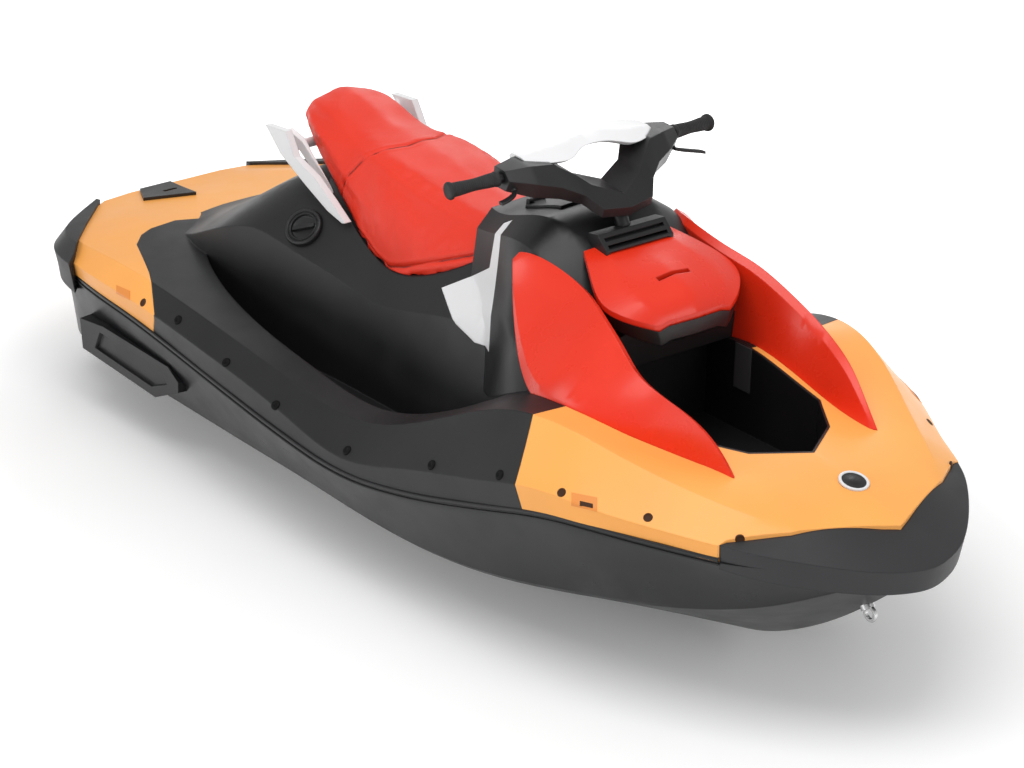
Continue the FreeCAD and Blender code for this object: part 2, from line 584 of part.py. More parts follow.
def plan_prism(outline_shares, low, high, both=True):
    """Upright prism from a plan outline, low and high being heights over the keel."""
    points = [place(x * LENGTH, y * HALF_BEAM, low) for x, y in outline_shares]
    if both:
        points += [flip(point) for point in points[::-1] if point.y != 0]
    face = Part.Face(Part.makePolygon(points + [points[0]]))
    return face.extrude(FreeCAD.Vector(0, 0, high - low))


def side_prism(outline_shares, y_from, y_to):
    """Prism across the craft from a side outline in shares."""
    points = []
    for x, z in outline_shares:
        point = at(x, 0, z)
        points.append(FreeCAD.Vector(point.x, y_from, point.z))
    face = Part.Face(Part.makePolygon(points + [points[0]]))
    return face.extrude(FreeCAD.Vector(0, y_to - y_from, 0))


def block(x_from, x_to, half_width, z_from, z_to):
    corner = place(x_from, -half_width, z_from)
    return Part.makeBox(x_to - x_from, 2 * half_width, z_to - z_from, corner)


def tube_x(x_from, x_to, diameter, z=PUMP_Z):
    """Cylinder along the craft on the pump's axis."""
    base = place(x_from, 0, z)
    return Part.makeCylinder(diameter / 2, x_to - x_from, base, FreeCAD.Vector(1, 0, 0))


def cone_x(x_from, x_to, diameter_from, diameter_to):
    base = place(x_from, 0, PUMP_Z)
    axis = FreeCAD.Vector(1, 0, 0)
    return Part.makeCone(diameter_from / 2, diameter_to / 2, x_to - x_from, base, axis)


def well_cutter(side):
    """Open trough between gunwale and pedestal where the rider's feet stand."""
    stations = WELL_STATION_SHARES
    top_z = [WELL_TOP_SHARE] * len(stations)
    inner_y = [WELL_INNER_SHARE] * len(stations)
    lines = [station_line(stations, WELL_RIM_Y_SHARES, top_z, side),
             station_line(stations, WELL_FOOT_Y_SHARES, WELL_FLOOR_Z_SHARES, side),
             station_line(stations, inner_y, WELL_FLOOR_Z_SHARES, side),
             station_line(stations, inner_y, top_z, side)]
    return skin(lines, stations)


def blade_ring(count, root, tip, x_from, length, thickness, twist):
    """Twisted blades from root to tip diameter, about the pump's axis."""
    blades = []
    steps = BLADE_SECTIONS - 1
    for number in range(count):
        sections = []
        for step in range(BLADE_SECTIONS):
            turn = math.radians(number * FULL_TURN / count + twist * step / steps)
            out = FreeCAD.Vector(0, math.cos(turn), math.sin(turn))
            across = FreeCAD.Vector(0, -math.sin(turn), math.cos(turn)) * (thickness / 2)
            base = place(x_from + length * step / steps, 0, PUMP_Z)
            sections.append((base + out * (root / 2) - across, base + out * (tip / 2) - across,
                             base + out * (tip / 2) + across, base + out * (root / 2) + across))
        blades.append(skin([[section[corner] for section in sections] for corner in range(4)]))
    return blades


def rod(start, end, diameter):
    """Round bar between two points."""
    return Part.makeCylinder(diameter / 2, (end - start).Length, start, end - start)


def bent_rod(points, diameter):
    """Round bar through several points, with a ball at each corner."""
    shape = rod(points[0], points[1], diameter)
    for start, end in zip(points[1:], points[2:]):
        ball = Part.makeSphere(diameter / 2, start)
        shape = shape.fuse([ball, rod(start, end, diameter)])
    return shape.removeSplitter()


def ring_eye(centre, axis, bore, wire):
    """Flat lifting eye with a round bore along the axis."""
    start = centre - axis * (wire / 2)
    outer = Part.makeCylinder(bore / 2 + wire, wire, start, axis)
    outer = outer.makeChamfer(wire / 4, [edge for edge in outer.Edges if len(edge.Vertexes) == 1])
    return outer.cut(Part.makeCylinder(bore / 2, wire, start, axis))


def pump_housing():
    """Housing with stator vanes, nozzle cone and the ears that carry the moving pieces."""
    front = PUMP_AFT_X + PUMP_LENGTH
    outside = PUMP_BORE + 2 * PUMP_WALL
    shell = tube_x(PUMP_AFT_X, front, outside)
    shell = shell.fuse([tube_x(PUMP_AFT_X, PUMP_AFT_X + FLANGE_THICKNESS, FLANGE_DIAMETER),
                        tube_x(front - FLANGE_THICKNESS, front, FLANGE_DIAMETER)])
    cone_aft = PUMP_AFT_X - VENTURI_LENGTH
    tip_aft = cone_aft - VENTURI_TUBE
    tip_outside = VENTURI_EXIT + 2 * VENTURI_WALL
    shell = shell.fuse([cone_x(cone_aft, PUMP_AFT_X, tip_outside, outside),
                        tube_x(tip_aft, cone_aft, tip_outside)])
    bore = tube_x(PUMP_AFT_X, front, PUMP_BORE)
    bore = bore.fuse([cone_x(cone_aft, PUMP_AFT_X, VENTURI_EXIT, PUMP_BORE),
                      tube_x(tip_aft, cone_aft, VENTURI_EXIT)])
    shell = shell.cut(bore)
    hub_aft = PUMP_AFT_X
    hub_front = STATOR_FRONT_X
    hub = tube_x(hub_aft, hub_front, STATOR_HUB)
    tail = cone_x(hub_aft - STATOR_HUB, hub_aft, STATOR_HUB / 4, STATOR_HUB)
    hub = hub.fuse(tail).cut(tube_x(hub_aft, hub_front, SHAFT_DIAMETER + 2 * RUN_GAP))
    vane_aft = hub_front - STATOR_LENGTH
    vanes = blade_ring(STATOR_VANES, STATOR_HUB - VANE_ROOT, PUMP_BORE + PUMP_WALL, vane_aft,
                       STATOR_LENGTH - VANE_SETBACK, VANE_THICKNESS, VANE_TWIST)
    vanes = [vane.cut(tube_x(vane_aft, hub_front, SHAFT_DIAMETER + 2 * RUN_GAP)) for vane in vanes]
    shell = shell.fuse([hub] + vanes)
    for side in (-1, 1):
        shell = shell.fuse([nozzle_ear(side), bucket_ear(side)])
    return shell.removeSplitter()


def nozzle_ear(side):
    """Arm above or below the nozzle, with its pivot pin."""
    offset = NOZZLE_BORE / 2 + NOZZLE_WALL + MOVE_GAP
    low = PUMP_Z + offset if side > 0 else PUMP_Z - offset - EAR_THICKNESS
    arm = block(NOZZLE_PIVOT_X, PUMP_AFT_X + FLANGE_THICKNESS, PIVOT_EAR / 2, low, low + EAR_THICKNESS)
    centre = place(NOZZLE_PIVOT_X, 0, low)
    up = FreeCAD.Vector(0, 0, 1)
    boss = Part.makeCylinder(PIVOT_EAR / 2, EAR_THICKNESS, centre, up)
    pin_inner = PUMP_Z + side * (NOZZLE_BORE / 2 + PIN_INSET)
    pin_outer = PUMP_Z + side * (offset + EAR_THICKNESS / 2)
    pin = rod(place(NOZZLE_PIVOT_X, 0, pin_inner), place(NOZZLE_PIVOT_X, 0, pin_outer), PIVOT_PIN)
    return arm.fuse([boss, pin])


def bucket_ear(side):
    """Side arm with the pin that the reverse bucket swings on."""
    inner = BUCKET_HALF_WIDTH - MOVE_GAP - EAR_THICKNESS
    y_low = inner if side > 0 else -inner - EAR_THICKNESS
    corner = place(BUCKET_PIVOT_X, y_low, PUMP_Z - PIVOT_EAR / 2)
    reach = PUMP_AFT_X + FLANGE_THICKNESS - BUCKET_PIVOT_X
    arm = Part.makeBox(reach, EAR_THICKNESS, PIVOT_EAR, corner)
    across = FreeCAD.Vector(0, 1, 0)
    boss = Part.makeCylinder(PIVOT_EAR / 2, EAR_THICKNESS, place(BUCKET_PIVOT_X, y_low, PUMP_Z), across)
    pin = rod(place(BUCKET_PIVOT_X, side * (inner + EAR_THICKNESS / 2), PUMP_Z),
              place(BUCKET_PIVOT_X, side * (BUCKET_HALF_WIDTH + BUCKET_ARM), PUMP_Z), BUCKET_PIN)
    return arm.fuse([boss, pin])


def steering_nozzle():
    """Tapered nozzle that turns on two upright pins."""
    length = NOZZLE_FRONT_X - NOZZLE_AFT_X
    outer = cone_x(NOZZLE_AFT_X, NOZZLE_FRONT_X, NOZZLE_EXIT + 2 * NOZZLE_WALL, NOZZLE_BORE + 2 * NOZZLE_WALL)
    centre = place(NOZZLE_PIVOT_X, 0, PUMP_Z)
    reach = NOZZLE_BORE / 2 + NOZZLE_WALL + MOVE_GAP - RUN_GAP * 2
    up = FreeCAD.Vector(0, 0, 1)
    boss = Part.makeCylinder(PIVOT_EAR / 2 - RUN_GAP, 2 * reach, centre - up * reach, up)
    front = tube_x(NOZZLE_AFT_X + length / 2, NOZZLE_FRONT_X + PIVOT_EAR, NOZZLE_BORE)
    body = outer.fuse(boss)
    body = body.cut(cone_x(NOZZLE_AFT_X, NOZZLE_FRONT_X, NOZZLE_EXIT, NOZZLE_BORE))
    body = body.cut(Part.makeCylinder(NOZZLE_BORE / 2, NOZZLE_FRONT_X, place(NOZZLE_FRONT_X, 0, PUMP_Z),
                                      FreeCAD.Vector(1, 0, 0)))
    bore = (PIVOT_PIN / 2 + RUN_GAP / 2)
    return body.cut(Part.makeCylinder(bore, 4 * reach, centre - up * (2 * reach), up))


def reverse_bucket():
    """Curved gate on two side arms, stored above the nozzle."""
    across = FreeCAD.Vector(0, 1, 0)
    width = BUCKET_HALF_WIDTH + BUCKET_ARM
    centre = place(BUCKET_PIVOT_X, -width, PUMP_Z)
    outer_radius = BUCKET_RADIUS + BUCKET_WALL
    drum = Part.makeCylinder(outer_radius, 2 * width, centre, across)
    hollow = Part.makeCylinder(BUCKET_RADIUS, 2 * BUCKET_HALF_WIDTH,
                               place(BUCKET_PIVOT_X, -BUCKET_HALF_WIDTH, PUMP_Z), across)
    shell = drum.cut(hollow)
    wedge = bucket_wedge(width)
    shell = shell.common(wedge)
    pin_bore = BUCKET_PIN / 2 + RUN_GAP / 2
    for side in (-1, 1):
        y_low = BUCKET_HALF_WIDTH if side > 0 else -width
        base = place(BUCKET_PIVOT_X, y_low, PUMP_Z)
        shell = shell.fuse(Part.makeCylinder(PIVOT_EAR / 2 + BUCKET_WALL, BUCKET_ARM, base, across))
    return shell.cut(Part.makeCylinder(pin_bore, 2 * width, centre, across)).removeSplitter()


def bucket_wedge(half_width):
    """Sector that the bucket's shell is cut from, seen from the side."""
    reach = 2 * BUCKET_RADIUS
    points = [place(BUCKET_PIVOT_X, -half_width, PUMP_Z)]
    for step in range(3):
        angle = math.radians(BUCKET_REST_ANGLE + BUCKET_SPAN * step / 2)
        x = BUCKET_PIVOT_X - reach * math.cos(angle)
        points.append(place(x, -half_width, PUMP_Z + reach * math.sin(angle)))
    face = Part.Face(Part.makePolygon(points + [points[0]]))
    return face.extrude(FreeCAD.Vector(0, 2 * half_width, 0))


def impeller():
    """Hub, swept blades and drive shaft on one axis."""
    aft = IMPELLER_AFT_X
    front = aft + IMPELLER_LENGTH
    hub = cone_x(aft, front, IMPELLER_HUB, IMPELLER_HUB * IMPELLER_TAPER)
    shaft = tube_x(PUMP_AFT_X, ENGINE_AFT_X - RUN_GAP, SHAFT_DIAMETER)
    tip = PUMP_BORE - 2 * BLADE_TIP_GAP
    blades = blade_ring(IMPELLER_BLADES, SHAFT_DIAMETER + BLADE_THICKNESS / 2, tip, aft + BLADE_SETBACK,
                        IMPELLER_LENGTH - 2 * BLADE_SETBACK, BLADE_THICKNESS, BLADE_TWIST)
    return hub.fuse([shaft] + blades)


def duct_cutter():
    """Water way from the bottom of the hull up to the pump."""
    roof = PUMP_Z + PUMP_BORE / 2
    low = PUMP_Z - PUMP_BORE / 2
    points = [(DUCT_FRONT_X, -OVERRUN), (DUCT_AFT_X, -OVERRUN), (DUCT_AFT_X, DUCT_SILL_Z),
              (DUCT_LIP_X, low), (TUNNEL_LENGTH, low), (TUNNEL_LENGTH, roof), (DUCT_ROOF_X, roof),
              (DUCT_KNEE_X, DUCT_KNEE_Z), (DUCT_FRONT_X, DUCT_SILL_Z)]
    corners = [place(x, -DUCT_HALF_WIDTH, z) for x, z in points]
    face = Part.Face(Part.makePolygon(corners + [corners[0]]))
    return face.extrude(FreeCAD.Vector(0, 2 * DUCT_HALF_WIDTH, 0))


def intake_grate():
    """Frame and lengthwise bars that cover the intake."""
    low = GRATE_Z
    high = low + GRATE_BAR_DEPTH
    frame = block(DUCT_AFT_X, DUCT_FRONT_X, DUCT_HALF_WIDTH, low, high)
    inside = block(DUCT_AFT_X + GRATE_FRAME, DUCT_FRONT_X - GRATE_FRAME,
                   DUCT_HALF_WIDTH - GRATE_FRAME, low - OVERRUN, high + OVERRUN)
    frame = frame.cut(inside)
    room = 2 * (DUCT_HALF_WIDTH - GRATE_FRAME)
    for number in range(GRATE_BARS):
        centre_y = room * (number + 1) / (GRATE_BARS + 1) - room / 2
        corner = place(DUCT_AFT_X, centre_y - GRATE_BAR_WIDTH / 2, low)
        bar = Part.makeBox(DUCT_FRONT_X - DUCT_AFT_X, GRATE_BAR_WIDTH, GRATE_BAR_DEPTH, corner)
        frame = frame.fuse(bar)
    return frame.removeSplitter()


def stem_axis():
    rake = math.radians(STEM_RAKE)
    return FreeCAD.Vector(-math.sin(rake), 0, math.cos(rake))


def from_stem(x, y, z):
    """Point of the steering set, measured from the foot of the stem."""
    return place(STEM_X + x, y, STEM_Z + z)


def bar_end(side):
    return from_stem(BAR_END_X, side * BAR_HALF_LENGTH, BAR_END_Z)


def bar_shoulder(side):
    return from_stem(BAR_SHOULDER_X, side * BAR_SHOULDER_Y, BAR_SHOULDER_Z)


def steering_stem():
    """Post that turns in the console and carries the handlebar."""
    foot = place(STEM_X, 0, STEM_Z) - stem_axis() * STEM_DEPTH
    top = place(STEM_X, 0, STEM_Z) + stem_axis() * STEM_RISE
    return rod(foot, top, STEM_DIAMETER)


def handlebar_tube():
    crown = place(STEM_X, 0, STEM_Z) + stem_axis() * (STEM_RISE + BAR_DIAMETER / 2)
    points = [bar_end(-1), bar_shoulder(-1), crown, bar_shoulder(1), bar_end(1)]
    return bent_rod(points, BAR_DIAMETER)


def grip(side):
    """Rubber grip on the end of the bar, with a flange at its end."""
    end = bar_end(side)
    inward = (bar_shoulder(side) - end).normalize()
    outer = end - inward * GRIP_CAP
    sleeve = rod(outer, end + inward * GRIP_LENGTH, GRIP_DIAMETER)
    flange = rod(outer, outer + inward * GRIP_FLANGE_LENGTH, GRIP_FLANGE)
    collar = rod(end + inward * (GRIP_LENGTH - GRIP_FLANGE_LENGTH), end + inward * GRIP_LENGTH,
                 GRIP_FLANGE - GRIP_CAP)
    return sleeve.fuse([flange, collar]).cut(rod(end, end + inward * (2 * GRIP_LENGTH), BAR_DIAMETER))


def cover_body():
    """Faceted cover over the two raised arms of the handlebar."""
    shape = None
    for side in (-1, 1):
        sections = []
        for y, corners in COVER_SECTIONS:
            sections.append([from_stem(x, side * y, z) for x, z in corners])
        for near, far in zip(sections, sections[1:]):
            piece = skin([[a, b] for a, b in zip(near, far)], None, cap)
            shape = piece if shape is None else shape.fuse(piece)
    return shape


def bar_pad_body():
    """Padded bridge between the two arms, lower where it meets them."""
    lines = []
    for x_share, z_share in PAD_RING_SHARES:
        line = []
        for y, aft, front, front_low, aft_low, high in PAD_SECTIONS:
            low = aft_low + (front_low - aft_low) * x_share
            line.append(from_stem(aft + (front - aft) * x_share, y, low + (high - low) * z_share))
        lines.append(line)
    return skin(lines, None, cap)


def lever_body(points, width, thickness):
    """Flat lever blade that follows the points."""
    up = FreeCAD.Vector(0, 0, thickness / 2)
    ahead = FreeCAD.Vector(width / 2, 0, 0)
    lines = [[p - up - ahead for p in points], [p - up + ahead for p in points],
             [p + up + ahead for p in points], [p + up - ahead for p in points]]
    return skin(lines, None, cap)


def vector(point, side=1):
    x, y, z = point
    return place(x, side * y, z)


def tapered_prism(outline_shares, y_from, y_to, end_share):
    """Prism across the craft that shrinks about its middle toward its far end."""
    wires = []
    middle_x = sum(x for x, _ in outline_shares) / len(outline_shares)
    middle_z = sum(z for _, z in outline_shares) / len(outline_shares)
    for y, share in ((y_from, 1.0), (y_to, end_share)):
        points = []
        for x, z in outline_shares:
            point = at(middle_x + (x - middle_x) * share, 0, middle_z + (z - middle_z) * share)
            points.append(FreeCAD.Vector(point.x, y, point.z))
        wires.append(Part.makePolygon(points + [points[0]]))
    return Part.makeLoft(wires, True, True)


def squeezed(shape):
    """Copy drawn in toward the centreline, which lies under the shape's own skin."""
    matrix = FreeCAD.Matrix()
    matrix.scale(1.0, SQUEEZE_SHARE, SQUEEZE_SHARE)
    return shape.transformGeometry(matrix)


def raised(shape, height):
    return shape.translated(FreeCAD.Vector(0, 0, height))


def sponson():
    """Side float of the port side with a sunk field in its face."""
    body = tapered_prism(SPONSON_SHARES, SPONSON_INNER, SPONSON_OUTER, SPONSON_TAPER_SHARE)
    sunk = tapered_prism(SPONSON_RECESS_SHARES, SPONSON_OUTER + RECESS_DEPTH, SPONSON_OUTER - RECESS_DEPTH,
                         SPONSON_TAPER_SHARE)
    return body.cut(sunk)


def hull_eye(centre, toward, carriers):
    """Ring with a foot that stands on the hull."""
    across = FreeCAD.Vector(0, 1, 0)
    ring = ring_eye(centre, across, EYE_BORE, EYE_WIRE)
    foot = Part.makeCylinder(EYE_BASE / 2, EYE_BASE, centre + toward * (EYE_BORE / 2), toward)
    bore = Part.makeCylinder(EYE_BORE / 2, EYE_BASE * 2, centre - across * EYE_BASE, across)
    return main_piece(ring.fuse(foot).cut(carriers + [bore]))


def drain_plug(side):
    x, y, z = PLUG
    start = place(x - PLUG_THICKNESS, side * y, z)
    forward = FreeCAD.Vector(1, 0, 0)
    head = Part.makeCylinder(PLUG_DIAMETER / 2, PLUG_THICKNESS, start, forward)
    slot = Part.makeBox(PLUG_SLOT, PLUG_DIAMETER, PLUG_SLOT,
                        start - FreeCAD.Vector(PLUG_SLOT / 2, PLUG_DIAMETER / 2, PLUG_SLOT / 2))
    return head.cut(slot)


def filler_cap(deck):
    """Fuel filler cap with notches round its rim."""
    tilt = math.radians(CAP_TILT)
    normal = FreeCAD.Vector(0, -math.sin(tilt), math.cos(tilt))
    centre = vector(CAP_CENTRE)
    cap_solid = rod(centre - normal * CAP_DIAMETER / 2, centre + normal * CAP_THICKNESS, CAP_DIAMETER)
    along = FreeCAD.Vector(1, 0, 0)
    up = normal.cross(along)
    notches = []
    for number in range(CAP_NOTCHES):
        turn = math.radians(number * FULL_TURN / CAP_NOTCHES)
        spot = centre + (along * math.cos(turn) + up * math.sin(turn)) * (CAP_DIAMETER / 2)
        notches.append(rod(spot + normal * PLUG_SLOT, spot + normal * CAP_DIAMETER, CAP_NOTCH))
    return cap_solid.cut(notches + [deck])


def tow_pad(deck):
    """Pad that follows the deck, with a slot for the tow rope."""
    zone = plan_prism(PAD_OUTLINE_SHARES, TUNNEL_TOP_Z, HEIGHT, False)
    pad = raised(deck, PAD_THICKNESS).common(zone).cut(deck)
    x, y = TOW_SLOT
    up = FreeCAD.Vector(0, 0, HEIGHT)
    half = TOW_SLOT_LENGTH / 2
    slot = [rod(place(x, y - half, 0), place(x, y - half, 0) + up, TOW_SLOT_WIDTH),
            rod(place(x, y + half, 0), place(x, y + half, 0) + up, TOW_SLOT_WIDTH),
            Part.makeBox(TOW_SLOT_WIDTH, TOW_SLOT_LENGTH, HEIGHT, place(x - TOW_SLOT_WIDTH / 2, y - half, 0))]
    return main_piece(pad.cut(slot))


def grab_rail(seat, deck):
    """Two side blades beside the seat's tail and the bar between them."""
    blade = side_prism(RAIL_BLADE_SHARES, RAIL_INNER, RAIL_OUTER)
    strip = side_prism(RAIL_STRIP_SHARES, STRIP_INNER, STRIP_OUTER)
    upper, lower = RAIL_BAR_POINTS
    bar = bent_rod([vector(upper, -1), vector(lower, -1), vector(lower), vector(upper)], RAIL_BAR)
    sides = [blade, strip, mirrored(blade), mirrored(strip)]
    return main_piece(bar.fuse(sides).cut([seat, deck]))


def gauge_pod():
    """Louvred pod in front of the handlebar."""
    body = side_prism(POD_OUTLINE_SHARES, -POD_HALF_WIDTH, POD_HALF_WIDTH)
    slots = []
    for share in POD_SLOT_Z_SHARES:
        z = share * HEIGHT
        slots.append(block(POD_SLOT_X_SHARE * LENGTH, LENGTH, POD_HALF_WIDTH - POD_WALL, z, z + POD_SLOT))
    return body.cut(slots)


def lid_zone(overlap):
    return block(GLOVEBOX_AFT_X - overlap, GLOVEBOX_FRONT_X + overlap, GLOVEBOX_HALF_WIDTH + overlap,
                 GLOVEBOX_TOP_Z - GLOVEBOX_DEPTH, HEIGHT)


def glovebox_lid(console):
    """Lid on two knuckles at its rear edge."""
    lid = raised(console, SEAT_GAP + LID_THICKNESS).common(lid_zone(LID_OVERLAP))
    lid = lid.cut(raised(console, SEAT_GAP))
    bores = []
    for side in (-1, 1):
        start = place(LID_PIN_X, side * LID_KNUCKLE_Y - LID_KNUCKLE_WIDTH / 2, LID_PIN_Z)
        across = FreeCAD.Vector(0, 1, 0)
        knuckle = Part.makeCylinder(LID_KNUCKLE / 2, LID_KNUCKLE_WIDTH, start, across)
        reach = Part.makeBox(LID_REACH, LID_KNUCKLE_WIDTH, LID_KNUCKLE / 2,
                             start - FreeCAD.Vector(0, 0, LID_KNUCKLE / 2))
        lid = lid.fuse([knuckle, reach.cut(raised(console, SEAT_GAP))])
        bores.append(Part.makeCylinder(LID_PIN / 2 + SEAT_GAP, LID_KNUCKLE_WIDTH, start, across))
    return lid.cut(bores)


def lid_pins():
    """Pins and lugs on the console that the lid's knuckles turn on."""
    pieces = []
    across = FreeCAD.Vector(0, 1, 0)
    for side in (-1, 1):
        inner = side * LID_KNUCKLE_Y - LID_KNUCKLE_WIDTH / 2 - RUN_GAP
        outer = side * LID_KNUCKLE_Y + LID_KNUCKLE_WIDTH / 2 + RUN_GAP
        pin_start = place(LID_PIN_X, inner - LID_LUG_WIDTH, LID_PIN_Z)
        pieces.append(Part.makeCylinder(LID_PIN / 2, outer - inner + 2 * LID_LUG_WIDTH, pin_start, across))
        for low in (inner - LID_LUG_WIDTH, outer):
            corner = place(LID_PIN_X - LID_KNUCKLE / 2, low, LID_PIN_Z - 2 * LID_KNUCKLE)
            pieces.append(Part.makeBox(LID_KNUCKLE, LID_LUG_WIDTH, 2 * LID_KNUCKLE, corner))
            top = place(LID_PIN_X, low, LID_PIN_Z)
            pieces.append(Part.makeCylinder(LID_KNUCKLE / 2, LID_LUG_WIDTH, top, across))
    return pieces


def lever(points, handlebar_parts):
    """Control lever of the port side with the perch that holds it to the bar."""
    perch = rod(from_stem(*LEVER_PERCH_START), from_stem(*points[0]), LEVER_PERCH)
    blade = lever_body([from_stem(*point) for point in points], LEVER_WIDTH, LEVER_THICKNESS)
    return main_piece(perch.fuse(blade).cut(handlebar_parts))


def main_piece(shape):
    """Largest solid of a cut, without the crumbs that the cut leaves."""
    return max(shape.Solids, key=lambda solid: solid.Volume)


def write(name, shape):
    """Store one piece as its own file."""
    solids = shape.Solids
    piece = solids[0] if len(solids) == 1 else Part.makeCompound(solids)
    piece.exportStep("parts/" + name + ".step")
    print(name, len(solids), round(piece.Volume / 1000), piece.isValid())


def hood_lines(drop, inset):
    """Five lines across the hood, lowered by a drop, from starboard to port."""
    tables = (HOOD_EDGE_SHARES, HOOD_CREASE_SHARES, HOOD_CREST_SHARES)
    starboard = []
    for table in tables:
        line = []
        for x, y, z in table:
            point = at(x, -y * (1 - inset), z)
            line.append(FreeCAD.Vector(point.x, point.y, point.z - drop))
        starboard.append(line)
    port = [[flip(point) for point in line] for line in starboard[1::-1]]
    return starboard + port


def stern_bumper(carriers):
    """Rub piece that wraps the port quarter."""
    zone = plan_prism(STERN_BUMPER_SHARES, STERN_BUMPER_LOW_SHARE * HEIGHT, HEIGHT, False)
    outward = FreeCAD.Vector(-BUMPER_PROUD, BUMPER_PROUD, BUMPER_RISE)
    copies = [shape.translated(outward) for shape in carriers]
    return main_piece(copies[0].fuse(copies[1:]).common(zone).cut(carriers))


def bumper_zone():
    """Everything ahead of the faceted border between bow deck and bumper."""
    outline = BUMPER_BORDER_SHARES + ((BEYOND_BOW_SHARE, 0.0), (BEYOND_BOW_SHARE, BEYOND_BOW_SHARE))
    half = plan_prism(outline, 0, HEIGHT, False)
    return half.fuse(mirrored(half))


def bow_zone():
    """Everything ahead of the raked joint between deck and bow panel."""
    top_x, top_z = BOW_PANEL_TOP_SHARE
    foot_x, foot_z = BOW_PANEL_FOOT_SHARE
    slope = (foot_x - top_x) / (foot_z - top_z)
    outline = ((top_x + slope * (1.0 - top_z), 1.0), (foot_x - slope * foot_z, 0.0),
               (BEYOND_BOW_SHARE, 0.0), (BEYOND_BOW_SHARE, 1.0))
    return side_prism(outline, -LENGTH, LENGTH)


def build_bodies(bodies):
    """Hull, deck panels and what is cut from them."""
    raw_hull, raw_gunwale, raw_pedestal, raw_console, seat = bodies
    bay = block(BAY_AFT_X, BAY_FRONT_X, BAY_HALF_WIDTH, BAY_FLOOR_Z, BAY_TOP_Z)
    tunnel = block(-OVERRUN, TUNNEL_LENGTH, TUNNEL_HALF_WIDTH, -LENGTH, TUNNEL_TOP_Z)
    rear_bumper = stern_bumper([raw_hull, raw_gunwale])
    bow_bumper = main_piece(bumper_body().common(bumper_zone()))
    shaft_bore = tube_x(TUNNEL_LENGTH - OVERRUN, BAY_AFT_X + OVERRUN, SHAFT_DIAMETER + 4 * RUN_GAP)
    hull = main_piece(raw_hull.cut([bay, duct_cutter(), tunnel, shaft_bore, bow_bumper]))

    bin_zone = plan_prism(BIN_OUTLINE_SHARES, BIN_FLOOR_Z_SHARE * HEIGHT, HEIGHT)
    cutters = [well_cutter(-1), well_cutter(1), bay, tunnel, bin_zone, bumper_zone()]
    gunwale = main_piece(raw_gunwale.cut(cutters))
    stern_zone = plan_prism(STERN_PANEL_SHARES, 0, HEIGHT)
    stern_deck = gunwale.common(stern_zone)
    bow_deck = gunwale.common(bow_zone())
    pedestal = raw_pedestal.cut([seat, bay, stern_deck])
    deck = gunwale.cut([stern_zone, bow_zone()]).fuse(pedestal)

    skin_base = raw_console.fuse(raw_pedestal)
    inner_base = squeezed(raw_console).fuse(squeezed(raw_pedestal))
    zone = side_prism(ACCENT_SHARES, ACCENT_INNER, HALF_BEAM)
    accent = main_piece(skin_base.common(zone).cut([inner_base, seat, raw_gunwale]))
    accents = [accent, mirrored(accent)]
    deck = main_piece(deck.cut(accents))
    write("hull", hull)
    write("deck", deck)
    write("stern_deck", stern_deck)
    write("bow_deck", bow_deck)
    write("bow_bumper", bow_bumper)
    write("stern_bumper_left", rear_bumper)
    write("stern_bumper_right", mirrored(rear_bumper))
    write("accent_panel_left", accents[0])
    write("accent_panel_right", accents[1])
    write("front_bin", front_bin(bin_zone, raw_gunwale))
    plate_aft, plate_front, plate_low, plate_high = BIN_PLATE
    bin_wall_y = BIN_OUTLINE_SHARES[0][1] * HALF_BEAM - BIN_WALL
    corner = place(plate_aft, bin_wall_y - BIN_PLATE_THICKNESS, plate_low)
    write("bin_plate", Part.makeBox(plate_front - plate_aft, BIN_PLATE_THICKNESS,
                                    plate_high - plate_low, corner))
    return deck, stern_deck, accents


def front_bin(zone, raw_gunwale):
    """Open tub let into the bow."""
    inside = zone.makeOffsetShape(-BIN_WALL, SEAT_GAP / OVERRUN)
    return main_piece(zone.common(raw_gunwale).cut([inside, raised(inside, TUNNEL_TOP_Z / 2)]))


def build_front(bodies, deck, accents):
    """Console, side panels, hood, gauge pod and glovebox."""
    raw_hull, raw_gunwale, raw_pedestal, raw_console, seat = bodies
    panel_left = main_piece(panel_body(1).cut([raw_gunwale]))
    panels = [panel_left, mirrored(panel_left)]
    stem_foot = place(STEM_X, 0, STEM_Z) - stem_axis() * (STEM_DEPTH + RUN_GAP)
    stem_bore = rod(stem_foot, stem_foot + stem_axis() * LENGTH, STEM_DIAMETER + 2 * RUN_GAP)
    cutters = [raw_gunwale, raw_pedestal, seat, lid_zone(0.0), stem_bore] + panels + accents
    console = raw_console.cut(cutters)
    pins = [pin.cut(raw_console) for pin in lid_pins()]
    console = console.fuse(pins)
    under = hood_lines(HOOD_THICKNESS, 0.0)
    hood = skin(hood_lines(0.0, 0.0) + under[::-1], None, cap)
    corner = place(HOOD_SLOT_X_SHARE * LENGTH, -HOOD_SLOT_LENGTH / 2, HOOD_SLOT_Z_SHARE * HEIGHT)
    slot = Part.makeBox(HOOD_SLOT_WIDTH, HOOD_SLOT_LENGTH, HEIGHT / 4, corner)
    hood = main_piece(hood.cut([raw_console, slot, stem_bore] + panels))
    chin_under = hood_lines(HOOD_THICKNESS + CHIN_DEPTH, CHIN_INSET_SHARE)
    chin = skin(under + chin_under[::-1], None, cap)
    chin = main_piece(chin.cut([raw_console, raw_gunwale, stem_bore] + panels))
    write("console", console)
    write("side_panel_left", panels[0])
    write("side_panel_right", panels[1])
    write("hood", hood)
    write("hood_chin", chin)
    write("gauge_pod", main_piece(gauge_pod().cut([raw_console, hood, chin, stem_bore])))
    write("glovebox_lid", glovebox_lid(raw_console))


